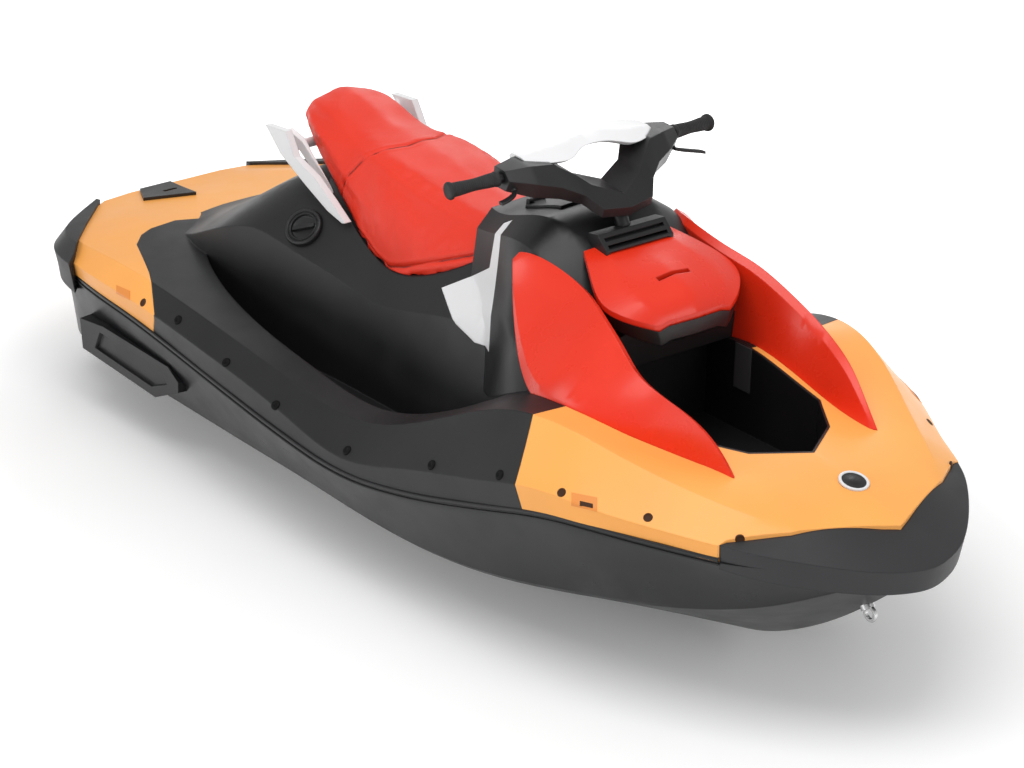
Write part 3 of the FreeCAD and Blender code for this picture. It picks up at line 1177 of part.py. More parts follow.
def build_drive(raw_hull):
    """Pump, nozzle, bucket, plates and engine."""
    write("pump_housing", pump_housing())
    write("impeller", impeller())
    write("steering_nozzle", steering_nozzle())
    write("reverse_bucket", reverse_bucket())
    plate_zone = block(RIDE_AFT_X, TUNNEL_LENGTH, TUNNEL_HALF_WIDTH, -LENGTH, PUMP_Z)
    ride_plate = plate_zone.common(raw_hull).cut(raised(raw_hull, PLATE_THICKNESS))
    write("ride_plate", main_piece(ride_plate))
    write("intake_grate", intake_grate())
    write("engine", block(ENGINE_AFT_X, ENGINE_AFT_X + ENGINE_LENGTH, ENGINE_HALF_WIDTH,
                          BAY_FLOOR_Z, BAY_FLOOR_Z + ENGINE_HEIGHT))


def build_steering():
    """Stem, handlebar and what turns with them."""
    stem = steering_stem()
    tube = handlebar_tube().cut(stem)
    cover = cover_body().cut([tube, stem])
    write("steering_stem", stem)
    write("handlebar", tube)
    write("bar_cover", cover)
    write("bar_pad", bar_pad_body().cut([cover, tube]))
    write("grip_left", grip(1))
    write("grip_right", grip(-1))
    write("brake_lever", lever(BRAKE_LEVER_POINTS, [cover, tube]))
    write("throttle_lever", mirrored(lever(THROTTLE_POINTS, [cover, tube])))


def build_fittings(bodies, deck):
    """Bumper, sponsons, rail, eyes, plugs, pad and cap."""
    raw_hull, raw_gunwale, raw_pedestal, raw_console, seat = bodies
    write("seat_cushion", seat)
    left = main_piece(sponson().cut(raw_hull))
    write("sponson_left", left)
    write("sponson_right", mirrored(left))
    write("grab_rail", grab_rail(seat, raw_pedestal))
    slope = math.radians(BOW_EYE_SLOPE)
    toward_stem = FreeCAD.Vector(-math.cos(slope), 0, math.sin(slope))
    carriers = [raw_hull, raw_gunwale]
    write("bow_eye", hull_eye(at(*BOW_EYE_SHARE), toward_stem, carriers))
    for name, side in (("left", 1), ("right", -1)):
        eye = hull_eye(vector(STERN_EYE, side), FreeCAD.Vector(1, 0, 0), carriers)
        write("stern_eye_" + name, eye)
        write("drain_plug_" + name, drain_plug(side))
    write("tow_pad", tow_pad(raw_gunwale))
    write("filler_cap", filler_cap(raw_pedestal))


def main():
    bodies = [hull_body(), gunwale_body(), pedestal_body(), console_body(), seat_body()]
    deck, stern_deck, accents = build_bodies(bodies)
    build_front(bodies, deck, accents)
    build_drive(bodies[0])
    build_steering()
    build_fittings(bodies, deck)


main()
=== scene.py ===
import json
import math
import bpy
import numpy as np
from mathutils import Matrix, Vector
from mathutils.bvhtree import BVHTree


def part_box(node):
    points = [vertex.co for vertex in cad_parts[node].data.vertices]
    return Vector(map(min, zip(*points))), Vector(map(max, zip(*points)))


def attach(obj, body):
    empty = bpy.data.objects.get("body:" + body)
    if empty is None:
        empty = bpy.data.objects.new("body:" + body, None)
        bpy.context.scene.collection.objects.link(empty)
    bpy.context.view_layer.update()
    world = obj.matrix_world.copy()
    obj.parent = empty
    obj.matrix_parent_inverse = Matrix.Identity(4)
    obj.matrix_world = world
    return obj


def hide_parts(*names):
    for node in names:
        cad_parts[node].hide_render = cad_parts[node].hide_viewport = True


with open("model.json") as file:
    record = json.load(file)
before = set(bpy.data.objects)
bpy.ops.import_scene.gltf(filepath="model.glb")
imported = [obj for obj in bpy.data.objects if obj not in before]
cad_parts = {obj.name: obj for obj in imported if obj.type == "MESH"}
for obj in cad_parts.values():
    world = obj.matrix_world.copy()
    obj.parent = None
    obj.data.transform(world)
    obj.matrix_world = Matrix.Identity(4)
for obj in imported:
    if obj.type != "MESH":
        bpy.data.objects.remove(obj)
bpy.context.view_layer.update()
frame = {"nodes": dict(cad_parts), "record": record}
NODES = frame["nodes"]
DRAFT = 0.168

# Camera at the photograph's place, with its roll
PHOTO_W, PHOTO_H = 1024, 768
FOCAL_PX = 4000.0
EYE = Vector((7.00666, -5.81705, 4.38652 - DRAFT))
AZIMUTH, ELEVATION, ROLL = (math.radians(a) for a in (50.284, 24.016, 1.724))


def camera_axes():
    back = Vector((math.sin(AZIMUTH) * math.cos(ELEVATION), -math.cos(AZIMUTH) * math.cos(ELEVATION),
                   math.sin(ELEVATION)))
    right = (-back).cross(Vector((0, 0, 1))).normalized()
    up = right.cross(-back)
    turn_right = math.cos(ROLL) * right + math.sin(ROLL) * up
    turn_up = -math.sin(ROLL) * right + math.cos(ROLL) * up
    return turn_right, turn_up, back


RIGHT, UP, BACK = camera_axes()


def add_camera():
    data = bpy.data.cameras.new("photo_camera")
    data.sensor_width = 36.0
    data.lens = FOCAL_PX / PHOTO_W * 36.0
    data.clip_start, data.clip_end = 0.5, 60.0
    camera = bpy.data.objects.new("photo_camera", data)
    camera.matrix_world = Matrix((
        (RIGHT.x, UP.x, BACK.x, EYE.x), (RIGHT.y, UP.y, BACK.y, EYE.y),
        (RIGHT.z, UP.z, BACK.z, EYE.z), (0, 0, 0, 1)))
    bpy.context.scene.collection.objects.link(camera)
    bpy.context.scene.camera = camera


def photo_ray(u, v):
    """Direction from the camera through a point of the photograph."""
    return (RIGHT * (u - PHOTO_W / 2) + UP * (PHOTO_H / 2 - v) - BACK * FOCAL_PX).normalized()


# Materials
class Graph:
    """Short hand for a material's node tree."""

    def __init__(self, name):
        self.material = bpy.data.materials.new(name)
        self.material.use_nodes = True
        self.tree = self.material.node_tree
        self.shader = self.tree.nodes["Principled BSDF"]
        self.coords = self.add("ShaderNodeTexCoord").outputs["Object"]

    def add(self, kind, **values):
        node = self.tree.nodes.new(kind)
        for key, value in values.items():
            setattr(node, key, value)
        return node

    def link(self, source, target):
        self.tree.links.new(source, target)

    def noise(self, scale, detail=4.0, rough=0.55):
        node = self.add("ShaderNodeTexNoise")
        node.inputs["Scale"].default_value = scale
        node.inputs["Detail"].default_value = detail
        node.inputs["Roughness"].default_value = rough
        self.link(self.coords, node.inputs["Vector"])
        return node.outputs["Fac"]

    def cells(self, scale, feature="DISTANCE_TO_EDGE"):
        node = self.add("ShaderNodeTexVoronoi", feature=feature)
        node.inputs["Scale"].default_value = scale
        self.link(self.coords, node.inputs["Vector"])
        return node.outputs["Distance"]

    def remap(self, value, low, high, to_low, to_high):
        node = self.add("ShaderNodeMapRange")
        self.link(value, node.inputs["Value"])
        for key, number in (("From Min", low), ("From Max", high), ("To Min", to_low), ("To Max", to_high)):
            node.inputs[key].default_value = number
        return node.outputs["Result"]

    def mix(self, factor, first, second):
        node = self.add("ShaderNodeMix", data_type="RGBA")
        self.link(factor, node.inputs[0])
        for socket, colour in ((node.inputs[6], first), (node.inputs[7], second)):
            if isinstance(colour, tuple):
                socket.default_value = (*colour, 1.0)
            else:
                self.link(colour, socket)
        return node.outputs[2]

    def bump(self, height, strength, distance, normal=None):
        node = self.add("ShaderNodeBump")
        node.inputs["Strength"].default_value = strength
        node.inputs["Distance"].default_value = distance
        self.link(height, node.inputs["Height"])
        if normal is not None:
            self.link(normal, node.inputs["Normal"])
        return node.outputs["Normal"]

    def rounded(self, radius):
        node = self.add("ShaderNodeBevel", samples=4)
        node.inputs["Radius"].default_value = radius
        return node.outputs["Normal"]


MOULD_GRAIN, CAST_GRAIN, PEBBLE, KNURL, DIAMOND = 700.0, 260.0, 420.0, 300.0, 90.0


def shade(colour, share):
    return tuple(min(1.0, c * share) for c in colour)


def plastic(name, colour, rough, depth=0.12, coat=0.0, edge=0.0, wear=0.05, gloss=0.5):
    """Moulded plastic: fine grain, slight colour drift and uneven gloss."""
    g = Graph(name)
    drift = g.noise(2.2, 3.0)
    g.link(g.mix(g.remap(drift, 0.35, 0.65, 0.0, 1.0), shade(colour, 1 - wear), shade(colour, 1 + wear)),
           g.shader.inputs["Base Color"])
    g.link(g.remap(g.noise(9.0, 5.0), 0.3, 0.7, rough - 0.05, rough + 0.06), g.shader.inputs["Roughness"])
    normal = g.rounded(edge) if edge else None
    g.link(g.bump(g.noise(MOULD_GRAIN, 2.0), depth, 0.0006, normal), g.shader.inputs["Normal"])
    g.shader.inputs["Coat Weight"].default_value = coat
    g.shader.inputs["Coat Roughness"].default_value = 0.12
    g.shader.inputs["Specular IOR Level"].default_value = gloss
    return g.material


def metal(name, colour, rough, depth=0.25, edge=0.0015):
    """Cast or polished metal: mottled colour, uneven gloss, faint grain."""
    g = Graph(name)
    g.shader.inputs["Metallic"].default_value = 1.0
    g.link(g.mix(g.noise(40.0), shade(colour, 0.85), shade(colour, 1.1)), g.shader.inputs["Base Color"])
    g.link(g.remap(g.noise(60.0), 0.3, 0.7, rough - 0.06, rough + 0.1), g.shader.inputs["Roughness"])
    g.link(g.bump(g.noise(CAST_GRAIN), depth, 0.0004, g.rounded(edge)), g.shader.inputs["Normal"])
    return g.material


def vinyl(name, colour):
    """Marine vinyl: pebbled grain with painted shade between the pebbles, soft gloss, and stitched seams
    pressed in and darkened with painted shade.
    """
    g = Graph(name)
    pebble = g.cells(PEBBLE)
    drift = g.noise(5.0, 4.0)
    base = g.mix(g.remap(drift, 0.3, 0.7, 0.0, 1.0), shade(colour, 0.96), shade(colour, 1.04))
    # Darker along the pebble edges: painted shade in the creases of the grain.
    grain_painted_shade = g.mix(g.remap(pebble, 0.0, 0.12, 0.0, 1.0), shade(colour, 0.86), base)
    seam = g.add("ShaderNodeAttribute", attribute_name="seam").outputs["Fac"]
    # Dark along the seams: painted shade in the pressed groove.
    g.link(g.mix(g.remap(seam, 0.0008, 0.0030, 0.0, 1.0), shade(colour, 0.16), grain_painted_shade),
           g.shader.inputs["Base Color"])
    g.link(g.remap(g.noise(14.0), 0.3, 0.7, 0.40, 0.54), g.shader.inputs["Roughness"])
    folds = g.bump(g.noise(6.0, 2.0), 0.08, 0.01)
    sewn = g.bump(g.remap(seam, 0.0, 0.006, 0.0, 1.0), 0.9, 0.003, folds)
    g.link(g.bump(g.remap(pebble, 0.0, 0.25, 0.0, 1.0), 0.2, 0.0006, sewn), g.shader.inputs["Normal"])
    g.shader.inputs["Specular IOR Level"].default_value = 0.4
    return g.material


def rubber(name, colour):
    """Grip rubber: small round knurls on a dull ground."""
    g = Graph(name)
    knurl = g.cells(KNURL, "F1")
    g.link(g.mix(g.noise(20.0), shade(colour, 0.8), shade(colour, 1.3)), g.shader.inputs["Base Color"])
    g.link(g.remap(g.noise(30.0), 0.3, 0.7, 0.6, 0.8), g.shader.inputs["Roughness"])
    g.link(g.bump(knurl, 0.5, 0.0008, g.rounded(0.002)), g.shader.inputs["Normal"])
    return g.material


def tread(name, colour):
    """Foot mat: rows of small raised diamonds, painted lighter on top and darker between them as painted
    highlight and painted shade.
    """
    g = Graph(name)
    turned = g.add("ShaderNodeMapping")
    turned.inputs["Rotation"].default_value = (0, 0, math.radians(45))
    turned.inputs["Scale"].default_value = (DIAMOND, DIAMOND, DIAMOND)
    g.link(g.coords, turned.inputs["Vector"])
    checks = g.add("ShaderNodeTexVoronoi", feature="DISTANCE_TO_EDGE")
    checks.inputs["Scale"].default_value = 1.0
    checks.inputs["Randomness"].default_value = 0.0
    g.link(turned.outputs[0], checks.inputs["Vector"])
    raised_with_painted_light = g.remap(checks.outputs["Distance"], 0.06, 0.2, 0.0, 1.0)
    # Diamonds lighter and grooves darker: painted highlight and painted shade.
    g.link(g.mix(raised_with_painted_light, shade(colour, 0.5), shade(colour, 1.8)), g.shader.inputs["Base Color"])
    g.link(g.remap(g.noise(30.0), 0.3, 0.7, 0.5, 0.65), g.shader.inputs["Roughness"])
    g.link(g.bump(raised_with_painted_light, 0.7, 0.002), g.shader.inputs["Normal"])
    g.shader.inputs["Specular IOR Level"].default_value = 0.35
    return g.material


ORANGE = (0.98, 0.42, 0.095)
RED = (0.80, 0.030, 0.008)
BLACK = (0.0085, 0.0085, 0.0095)
HULL_BLACK = (0.008, 0.008, 0.009)
TRIM_BLACK = (0.010, 0.010, 0.011)
BUMPER_GREY = (0.024, 0.024, 0.026)
WHITE = (0.78, 0.78, 0.79)
MATERIALS = {
    "orange_shell": plastic("orange_shell", ORANGE, 0.36, coat=0.05, edge=0.005, gloss=0.35),
    "red_shell": plastic("red_shell", RED, 0.28, coat=0.12, edge=0.004, gloss=0.4),
    "black_deck": plastic("black_deck", BLACK, 0.42, depth=0.3, edge=0.006, gloss=0.4),
    "black_hull": plastic("black_hull", HULL_BLACK, 0.32, depth=0.1, edge=0.006, gloss=0.35),
    "black_trim": plastic("black_trim", TRIM_BLACK, 0.38, depth=0.25, edge=0.003, gloss=0.4),
    "grey_bumper": plastic("grey_bumper", BUMPER_GREY, 0.5, depth=0.3, edge=0.006, gloss=0.4),
    "white_plastic": plastic("white_plastic", WHITE, 0.34, depth=0.08, edge=0.004, wear=0.02),
    "red_vinyl": vinyl("red_vinyl", (0.80, 0.034, 0.011)),
    "black_rubber": rubber("black_rubber", (0.009, 0.009, 0.0095)),
    "grey_plate": plastic("grey_plate", (0.060, 0.062, 0.065), 0.4, edge=0.002, gloss=0.4),
    "pump_aluminium": metal("pump_aluminium", (0.55, 0.56, 0.57), 0.4),
    "stainless": metal("stainless", (0.62, 0.62, 0.62), 0.22, depth=0.1),
    "engine_grey": plastic("engine_grey", (0.12, 0.12, 0.13), 0.6, depth=0.5, edge=0.004),
}
# Dark brown is painted shade: it stands for the depth of open holes and slots that are not cut.
MATERIALS["painted_hole_shade"] = plastic("painted_hole_shade", (0.05, 0.018, 0.006), 0.5, gloss=0.2)
# Near-black plug colour is painted shade: it gives the raised plugs the look of dark holes.
MATERIALS["painted_plug_shade"] = plastic("painted_plug_shade", (0.0015, 0.0015, 0.0015), 0.6, gloss=0.15)
MATERIALS["tread"] = tread("tread", TRIM_BLACK)
# Darker orange is painted shade: it stands for the shade in shallow recesses that are not cut.
MATERIALS["painted_recess_shade"] = plastic("painted_recess_shade", (0.80, 0.27, 0.045), 0.42)
SLOT_OF = {row["node"]: row["material_slot"] for row in frame["record"]["subparts"]}


def dress(obj, slot):
    obj.data.materials.clear()
    obj.data.materials.append(MATERIALS[slot])


def smooth_group(limit):
    """Geometry nodes that shade smooth everywhere but across sharp edges."""
    group = bpy.data.node_groups.new("smooth_%d" % limit, "GeometryNodeTree")
    for way in ("INPUT", "OUTPUT"):
        group.interface.new_socket("Geometry", in_out=way, socket_type="NodeSocketGeometry")
    start, end = group.nodes.new("NodeGroupInput"), group.nodes.new("NodeGroupOutput")
    faces, edges = (group.nodes.new("GeometryNodeSetShadeSmooth") for _ in range(2))
    faces.domain, edges.domain = "FACE", "EDGE"
    faces.inputs["Shade Smooth"].default_value = True
    edges.inputs["Shade Smooth"].default_value = False
    angle = group.nodes.new("GeometryNodeInputMeshEdgeAngle")
    compare = group.nodes.new("FunctionNodeCompare")
    compare.operation = "GREATER_THAN"
    compare.inputs[1].default_value = math.radians(limit)
    for source, target in ((start.outputs[0], faces.inputs[0]), (faces.outputs[0], edges.inputs[0]),
                           (angle.outputs[0], compare.inputs[0]),
                           (compare.outputs[0], edges.inputs["Selection"]),
                           (edges.outputs[0], end.inputs[0])):
        group.links.new(source, target)
    return group


SHELL_EDGE, HARD_EDGE, LID_EDGE = 18, 30, 40
WELD_GAP = 0.00005
SMOOTH = {limit: smooth_group(limit) for limit in (SHELL_EDGE, HARD_EDGE, LID_EDGE)}


def crisp(obj, limit=HARD_EDGE):
    """Join the faces of a mesh and keep only its real edges sharp."""
    weld = obj.modifiers.new("weld", "WELD")
    weld.merge_threshold = WELD_GAP
    shade_node = obj.modifiers.new("smooth", "NODES")
    shade_node.node_group = SMOOTH[limit]


# Pieces
def piece(name, mesh, slot, body="craft", material=None):
    obj = bpy.data.objects.new(name, mesh)
    bpy.context.scene.collection.objects.link(obj)
    mesh.materials.clear()
    mesh.materials.append(MATERIALS[material or slot])
    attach(obj, body)
    return obj


def mesh_of(name, verts, faces, smooth=True):
    mesh = bpy.data.meshes.new(name)
    mesh.from_pydata([tuple(v) for v in verts], [], faces)
    mesh.validate()
    for face in mesh.polygons:
        face.use_smooth = smooth
    return mesh


def lathe(name, start, axis, profile, sides=36):
    """Surface turned about an axis from (distance along, radius) pairs."""
    axis = Vector(axis).normalized()
    side = axis.orthogonal().normalized()
    other = axis.cross(side)
    verts, faces = [], []
    for along, radius in profile:
        for k in range(sides):
            turn = 2 * math.pi * k / sides
            spoke = side * math.cos(turn) + other * math.sin(turn)
            verts.append(Vector(start) + axis * along + spoke * radius)
    for ring in range(len(profile) - 1):
        for k in range(sides):
            a, b = ring * sides + k, ring * sides + (k + 1) % sides
            faces.append((a, b, b + sides, a + sides))
    faces.append(tuple(range(sides))[::-1])
    faces.append(tuple((len(profile) - 1) * sides + k for k in range(sides)))
    return mesh_of(name, verts, faces)


def ribbon(name, path, profile):
    """Strip of a given cross-section (out, up) swept along points with normals."""
    verts, faces = [], []
    count, width = len(path), len(profile)
    for index, (point, out) in enumerate(path):
        before, after = path[max(index - 1, 0)][0], path[min(index + 1, count - 1)][0]
        along = (after - before).normalized()
        up = along.cross(out).normalized()
        for x, y in profile:
            verts.append(point + out * x + up * y)
    for index in range(count - 1):
        for k in range(width):
            a, b = index * width + k, index * width + (k + 1) % width
            faces.append((a, b, b + width, a + width))
    faces.append(tuple(range(width))[::-1])
    faces.append(tuple((count - 1) * width + k for k in range(width)))
    return mesh_of(name, verts, faces, False)


def tree_of(*names):
    """Search tree over the faces of some nodes."""
    verts, faces = [], []
    for name in names:
        mesh = NODES[name].data
        base = len(verts)
        verts += [v.co.copy() for v in mesh.vertices]
        faces += [tuple(base + i for i in p.vertices) for p in mesh.polygons]
    return BVHTree.FromPolygons(verts, faces)


def seen_at(tree, u, v, step=(0, 0)):
    """Point and normal of the object where a point of the photograph looks."""
    for count in range(40):
        spot, normal, _, _ = tree.ray_cast(EYE, photo_ray(u + count * step[0], v + count * step[1]))
        if spot is not None:
            break
    else:
        raise ValueError("nothing at %d, %d" % (u, v))
    if normal.dot(photo_ray(u, v)) > 0:
        normal = -normal
    return spot, normal


def flipped(vector):
    return Vector((vector.x, -vector.y, vector.z))


def both_sides(spot, normal):
    """A place and its mirror image, each with the side that it is on."""
    near, far = ("right", "left") if spot.y < 0 else ("left", "right")
    return (near, spot, normal), (far, flipped(spot), flipped(normal))


PATCH_STEPS, PATCH_SINK = 10, 0.001


def rim_of(rows, columns):
    """Numbers of the points round a grid, in order, back to the first."""
    last = rows * columns - 1
    return list(range(columns)) + [i * columns + columns - 1 for i in range(1, rows)] \
        + [last - j for j in range(1, columns)] + [(rows - 1 - i) * columns for i in range(1, rows)]


def patch(name, tree, corners, lift, material):
    """Thin moulded plate that follows the surface inside four points of the photograph."""
    grid = []
    for i in range(PATCH_STEPS + 1):
        row = []
        for j in range(PATCH_STEPS + 1):
            s, t = i / PATCH_STEPS, j / PATCH_STEPS
            u, v = ((1 - s) * ((1 - t) * corners[0][k] + t * corners[1][k])
                    + s * ((1 - t) * corners[3][k] + t * corners[2][k]) for k in (0, 1))
            row.append(seen_at(tree, u, v))
        grid.append(row)
    n = PATCH_STEPS + 1
    edge = rim_of(n, n)
    for tag in ("right", "left"):
        verts, faces = [], []
        for height in (lift, -PATCH_SINK):
            for row in grid:
                for spot, normal in row:
                    point = spot + normal * height
                    verts.append(point if tag == "right" else flipped(point))
        for i in range(PATCH_STEPS):
            for j in range(PATCH_STEPS):
                a = i * n + j
                faces.append((a, a + 1, a + 1 + n, a + n))
        for a, b in zip(edge, edge[1:]):
            faces.append((b, a, a + n * n, b + n * n))
        mesh = mesh_of(name, verts, faces if tag == "right" else [f[::-1] for f in faces], True)
        crisp(piece(name + "_" + tag, mesh, "orange_shell", material=material))


STUD_SIDES = 20


def plug_profile(r, h):
    """Domed plug with a small socket in its middle."""
    return [(-0.004, r * 1.12), (0.0, r * 1.12), (h * 0.5, r * 1.05), (h, r * 0.8),
            (h * 1.15, r * 0.45), (h * 0.8, r * 0.4), (h * 0.8, r * 0.02)]


def hole_shade_profile(r, h):
    """Raised ring round a dark disc, the disc being painted shade in place of an opening."""
    return [(-0.004, r * 1.3), (0.0, r * 1.3), (h, r * 1.15), (h, r * 1.02), (0.0002, r * 0.86),
            (0.0002, r * 0.4), (0.0003, r * 0.02)]


def studs(name, tree, places, profile, slot, material):
    """Small turned pieces at points of the photograph, and their mirror images."""
    for index, (u, v) in enumerate(places):
        for tag, spot, normal in both_sides(*seen_at(tree, u, v)):
            full = "%s_%d_%s" % (name, index + 1, tag)
            piece(full, lathe(full, spot, normal, profile, STUD_SIDES), slot, material=material)


def coordinates(mesh):
    points = np.empty(len(mesh.vertices) * 3)
    mesh.vertices.foreach_get("co", points)
    return points.reshape(-1, 3)


def normals(mesh):
    points = np.empty(len(mesh.vertices) * 3)
    mesh.vertices.foreach_get("normal", points)
    return points.reshape(-1, 3)


def groove_attribute(mesh, paths):
    """Distance of every vertex from the nearest seam, for the material."""
    points = coordinates(mesh)
    best = np.full(len(points), 1.0)
    for path in paths:
        for start, end in zip(path, path[1:]):
            a, ab = np.array(start), np.array(end) - np.array(start)
            share = np.clip(((points - a) @ ab) / max(float(ab @ ab), 1e-12), 0, 1)
            best = np.minimum(best, np.linalg.norm(points - (a + share[:, None] * ab), axis=1))
    layer = mesh.attributes.new("seam", "FLOAT", "POINT")
    layer.data.foreach_set("value", best.astype(np.float32))
    return points, best


def applied(obj):
    """Mesh of an object with its modifiers applied."""
    graph = bpy.context.evaluated_depsgraph_get()
    graph.update()
    return bpy.data.meshes.new_from_object(obj.evaluated_get(graph))


# Seat: widths and places in metres, seam and hem in points of the photograph
SEAT_VOXEL, SEAT_SHRINK, SEAT_RISE = 0.0085, 0.004, 0.009
SEAT_SOFTENING, SEAT_PRESSURE, SEAT_FRAMES, SEAT_QUALITY = 14, 4.0, 20, 4
BASE_NORMAL_Z = -0.55
SEAT_SEAM = ((341, 196), (343, 185), (349, 174), (360, 162.5), (375, 153), (392, 147.5),
             (408, 145))
SEAT_HEM = ((359, 232), (366, 245), (376, 258), (389, 267), (404, 267.5), (442, 261),
            (470, 256), (489, 250))
SEAM_STEP, HEM_STEP = (0.5, -0.3), (0.4, -1)
SEAM_HALF_GAP, SEAM_TOP_AHEAD, OVERHEAD = 0.012, 0.002, 2.0
SEAM_DEPTH, SEAM_WIDTH, WELT_RISE, WELT_OFFSET = 0.0032, 0.006, 0.0012, 0.014
TAIL_X = (-0.78, -0.74, -0.66, -0.568, -0.508, -0.40, -0.30)
TAIL_WIDTH = (0.80, 0.81, 0.85, 0.90, 0.92, 0.97, 1.0)
CROWN_DRAW, TAIL_BACK, SADDLE_X, SADDLE_DIP = 0.10, 0.016, -0.20, 0.012
DOWN = Vector((0, 0, -1))


def waisted(points):
    """Seat that narrows toward its tail, most of all along the crown, and dips at the saddle."""
    share = np.interp(points[:, 0], TAIL_X, TAIL_WIDTH)
    high = np.clip((points[:, 2] - 0.66) / 0.075, 0, 1) * np.clip((-0.35 - points[:, 0]) / 0.25, 0, 1)
    points[:, 1] *= share * (1 - CROWN_DRAW * high)
    points[:, 0] -= TAIL_BACK * np.clip((-0.58 - points[:, 0]) / 0.15, 0, 1)
    near = np.exp(-((points[:, 0] - SADDLE_X) / 0.16) ** 2)
    dip = near * np.clip((points[:, 2] - 0.56) / 0.06, 0, 1)
    points[:, 2] -= SADDLE_DIP * dip * (0.4 + 0.6 * np.exp(-(points[:, 1] / 0.10) ** 2))
    return points


def place_points(mesh, points):
    mesh.vertices.foreach_set("co", points.ravel())
    mesh.update()


def seat_form(obj):
    """Even, softened mesh of the seat's solid, drawn in at the tail."""
    remesh = obj.modifiers.new("remesh", "REMESH")
    remesh.mode, remesh.voxel_size = "VOXEL", SEAT_VOXEL
    soft = obj.modifiers.new("soft", "SMOOTH")
    soft.iterations, soft.factor = SEAT_SOFTENING, 0.5
    mesh = applied(obj)
    obj.modifiers.clear()
    place_points(mesh, waisted(coordinates(mesh)))
    return mesh


def blow_up(obj, mesh, outward):
    """Swell the mesh by cloth pressure, with the base held and the rise capped."""
    scene = bpy.context.scene
    group = obj.vertex_groups.new(name="base")
    base = np.where(outward[:, 2] < BASE_NORMAL_Z)[0]
    group.add([int(i) for i in base], 1.0, "REPLACE")
    cloth = obj.modifiers.new("cloth", "CLOTH")
    cloth.settings.use_pressure = True
    cloth.settings.uniform_pressure_force = SEAT_PRESSURE
    cloth.settings.vertex_group_mass = "base"
    cloth.settings.effector_weights.gravity = 0.0
    cloth.settings.quality = SEAT_QUALITY
    cloth.collision_settings.use_self_collision = False
    cloth.point_cache.frame_end = SEAT_FRAMES
    for number in range(1, SEAT_FRAMES + 1):
        scene.frame_set(number)
    after = coordinates(applied(obj))
    scene.frame_set(1)
    obj.modifiers.clear()
    before = coordinates(mesh)
    move = after - before
    size = np.linalg.norm(move, axis=1, keepdims=True)
    move *= np.minimum(1.0, SEAT_RISE / np.maximum(size, 1e-9))
    place_points(mesh, before + move)


def sew(mesh):
    """Press the cross seam and the two hems into the pad."""
    tree = BVHTree.FromPolygons([v.co.copy() for v in mesh.vertices],
                                [tuple(p.vertices) for p in mesh.polygons])
    seam = [seen_at(tree, u, v, SEAM_STEP)[0] for u, v in SEAT_SEAM]
    seam = [p for p in seam if p.y < -SEAM_HALF_GAP]
    top = tree.ray_cast(Vector((seam[-1].x + SEAM_TOP_AHEAD, 0, OVERHEAD)), DOWN)[0]
    whole = seam + [top] + [flipped(p) for p in seam[::-1]]
    hem = [seen_at(tree, u, v, HEM_STEP)[0] for u, v in SEAT_HEM]
    points, gap = groove_attribute(mesh, [whole, hem, [flipped(p) for p in hem]])
    groove = SEAM_DEPTH * np.exp(-(gap / SEAM_WIDTH) ** 2)
    welt = WELT_RISE * np.exp(-((gap - WELT_OFFSET) / SEAM_WIDTH) ** 2)
    place_points(mesh, points - normals(mesh) * (groove - welt)[:, None])


def seat_pad():
    """Padded seat: the CAD form drawn in, blown up by cloth simulation, then seamed."""
    obj = bpy.data.objects.new("seat_pad", NODES["seat_cushion"].data.copy())
    bpy.context.scene.collection.objects.link(obj)
    mesh = seat_form(obj)
    start, outward = coordinates(mesh), normals(mesh)
    place_points(mesh, start - outward * SEAT_SHRINK)
    obj.data = mesh
    blow_up(obj, mesh, outward)
    divide = obj.modifiers.new("divide", "SUBSURF")
    divide.levels = divide.render_levels = 1
    fine = applied(obj)
    obj.modifiers.clear()
    obj.data = fine
    sew(fine)
    for face in fine.polygons:
        face.use_smooth = True
    fine.materials.clear()
    fine.materials.append(MATERIALS["red_vinyl"])
    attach(obj, "craft")
    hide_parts("seat_cushion")


BAR_END = Vector((0.237, -0.400, 0.842))
BAR_SHOULDER = Vector((0.265, -0.190, 0.854))


GRIP_SIDES = 40
RIB_START, RIB_END, RIB_PITCH, RIB_SPAN = 0.008, 0.118, 0.0055, 0.110
WAIST, WAIST_SWELL, RIB_DEPTH = 0.0158, 0.0012, 0.0004
FLARE = [(-0.006, 0.014), (-0.0055, 0.0195), (-0.002, 0.0218), (0.003, 0.0215), (0.006, 0.0185)]
COLLAR = [(0.1200, 0.0172), (0.1225, 0.0188), (0.1290, 0.0188), (0.1318, 0.0172), (0.1320, 0.0112)]


def grip_profile():
    """Flared end, rings along a waisted grip, and a collar."""
    profile = list(FLARE)
    along = RIB_START
    while along < RIB_END:
        waist = WAIST + WAIST_SWELL * math.cos((along - RIB_START) / RIB_SPAN * 2 * math.pi)
        profile += [(along, waist - 0.0006), (along + 0.0012, waist + RIB_DEPTH),
                    (along + 0.0034, waist + RIB_DEPTH), (along + 0.0046, waist - 0.0006)]
        along += RIB_PITCH
    return profile + COLLAR


def grips():
    """Ribbed rubber grips with a flared end and a collar."""
    profile = grip_profile()
    for side, make in (("right", lambda p: p), ("left", flipped)):
        start, aim = make(BAR_END), make(BAR_SHOULDER) - make(BAR_END)
        name = "grip_rubber_" + side
        grip = piece(name, lathe(name, start, aim, profile, GRIP_SIDES), "black_rubber", "handlebar_set")
        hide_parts("grip_" + side)


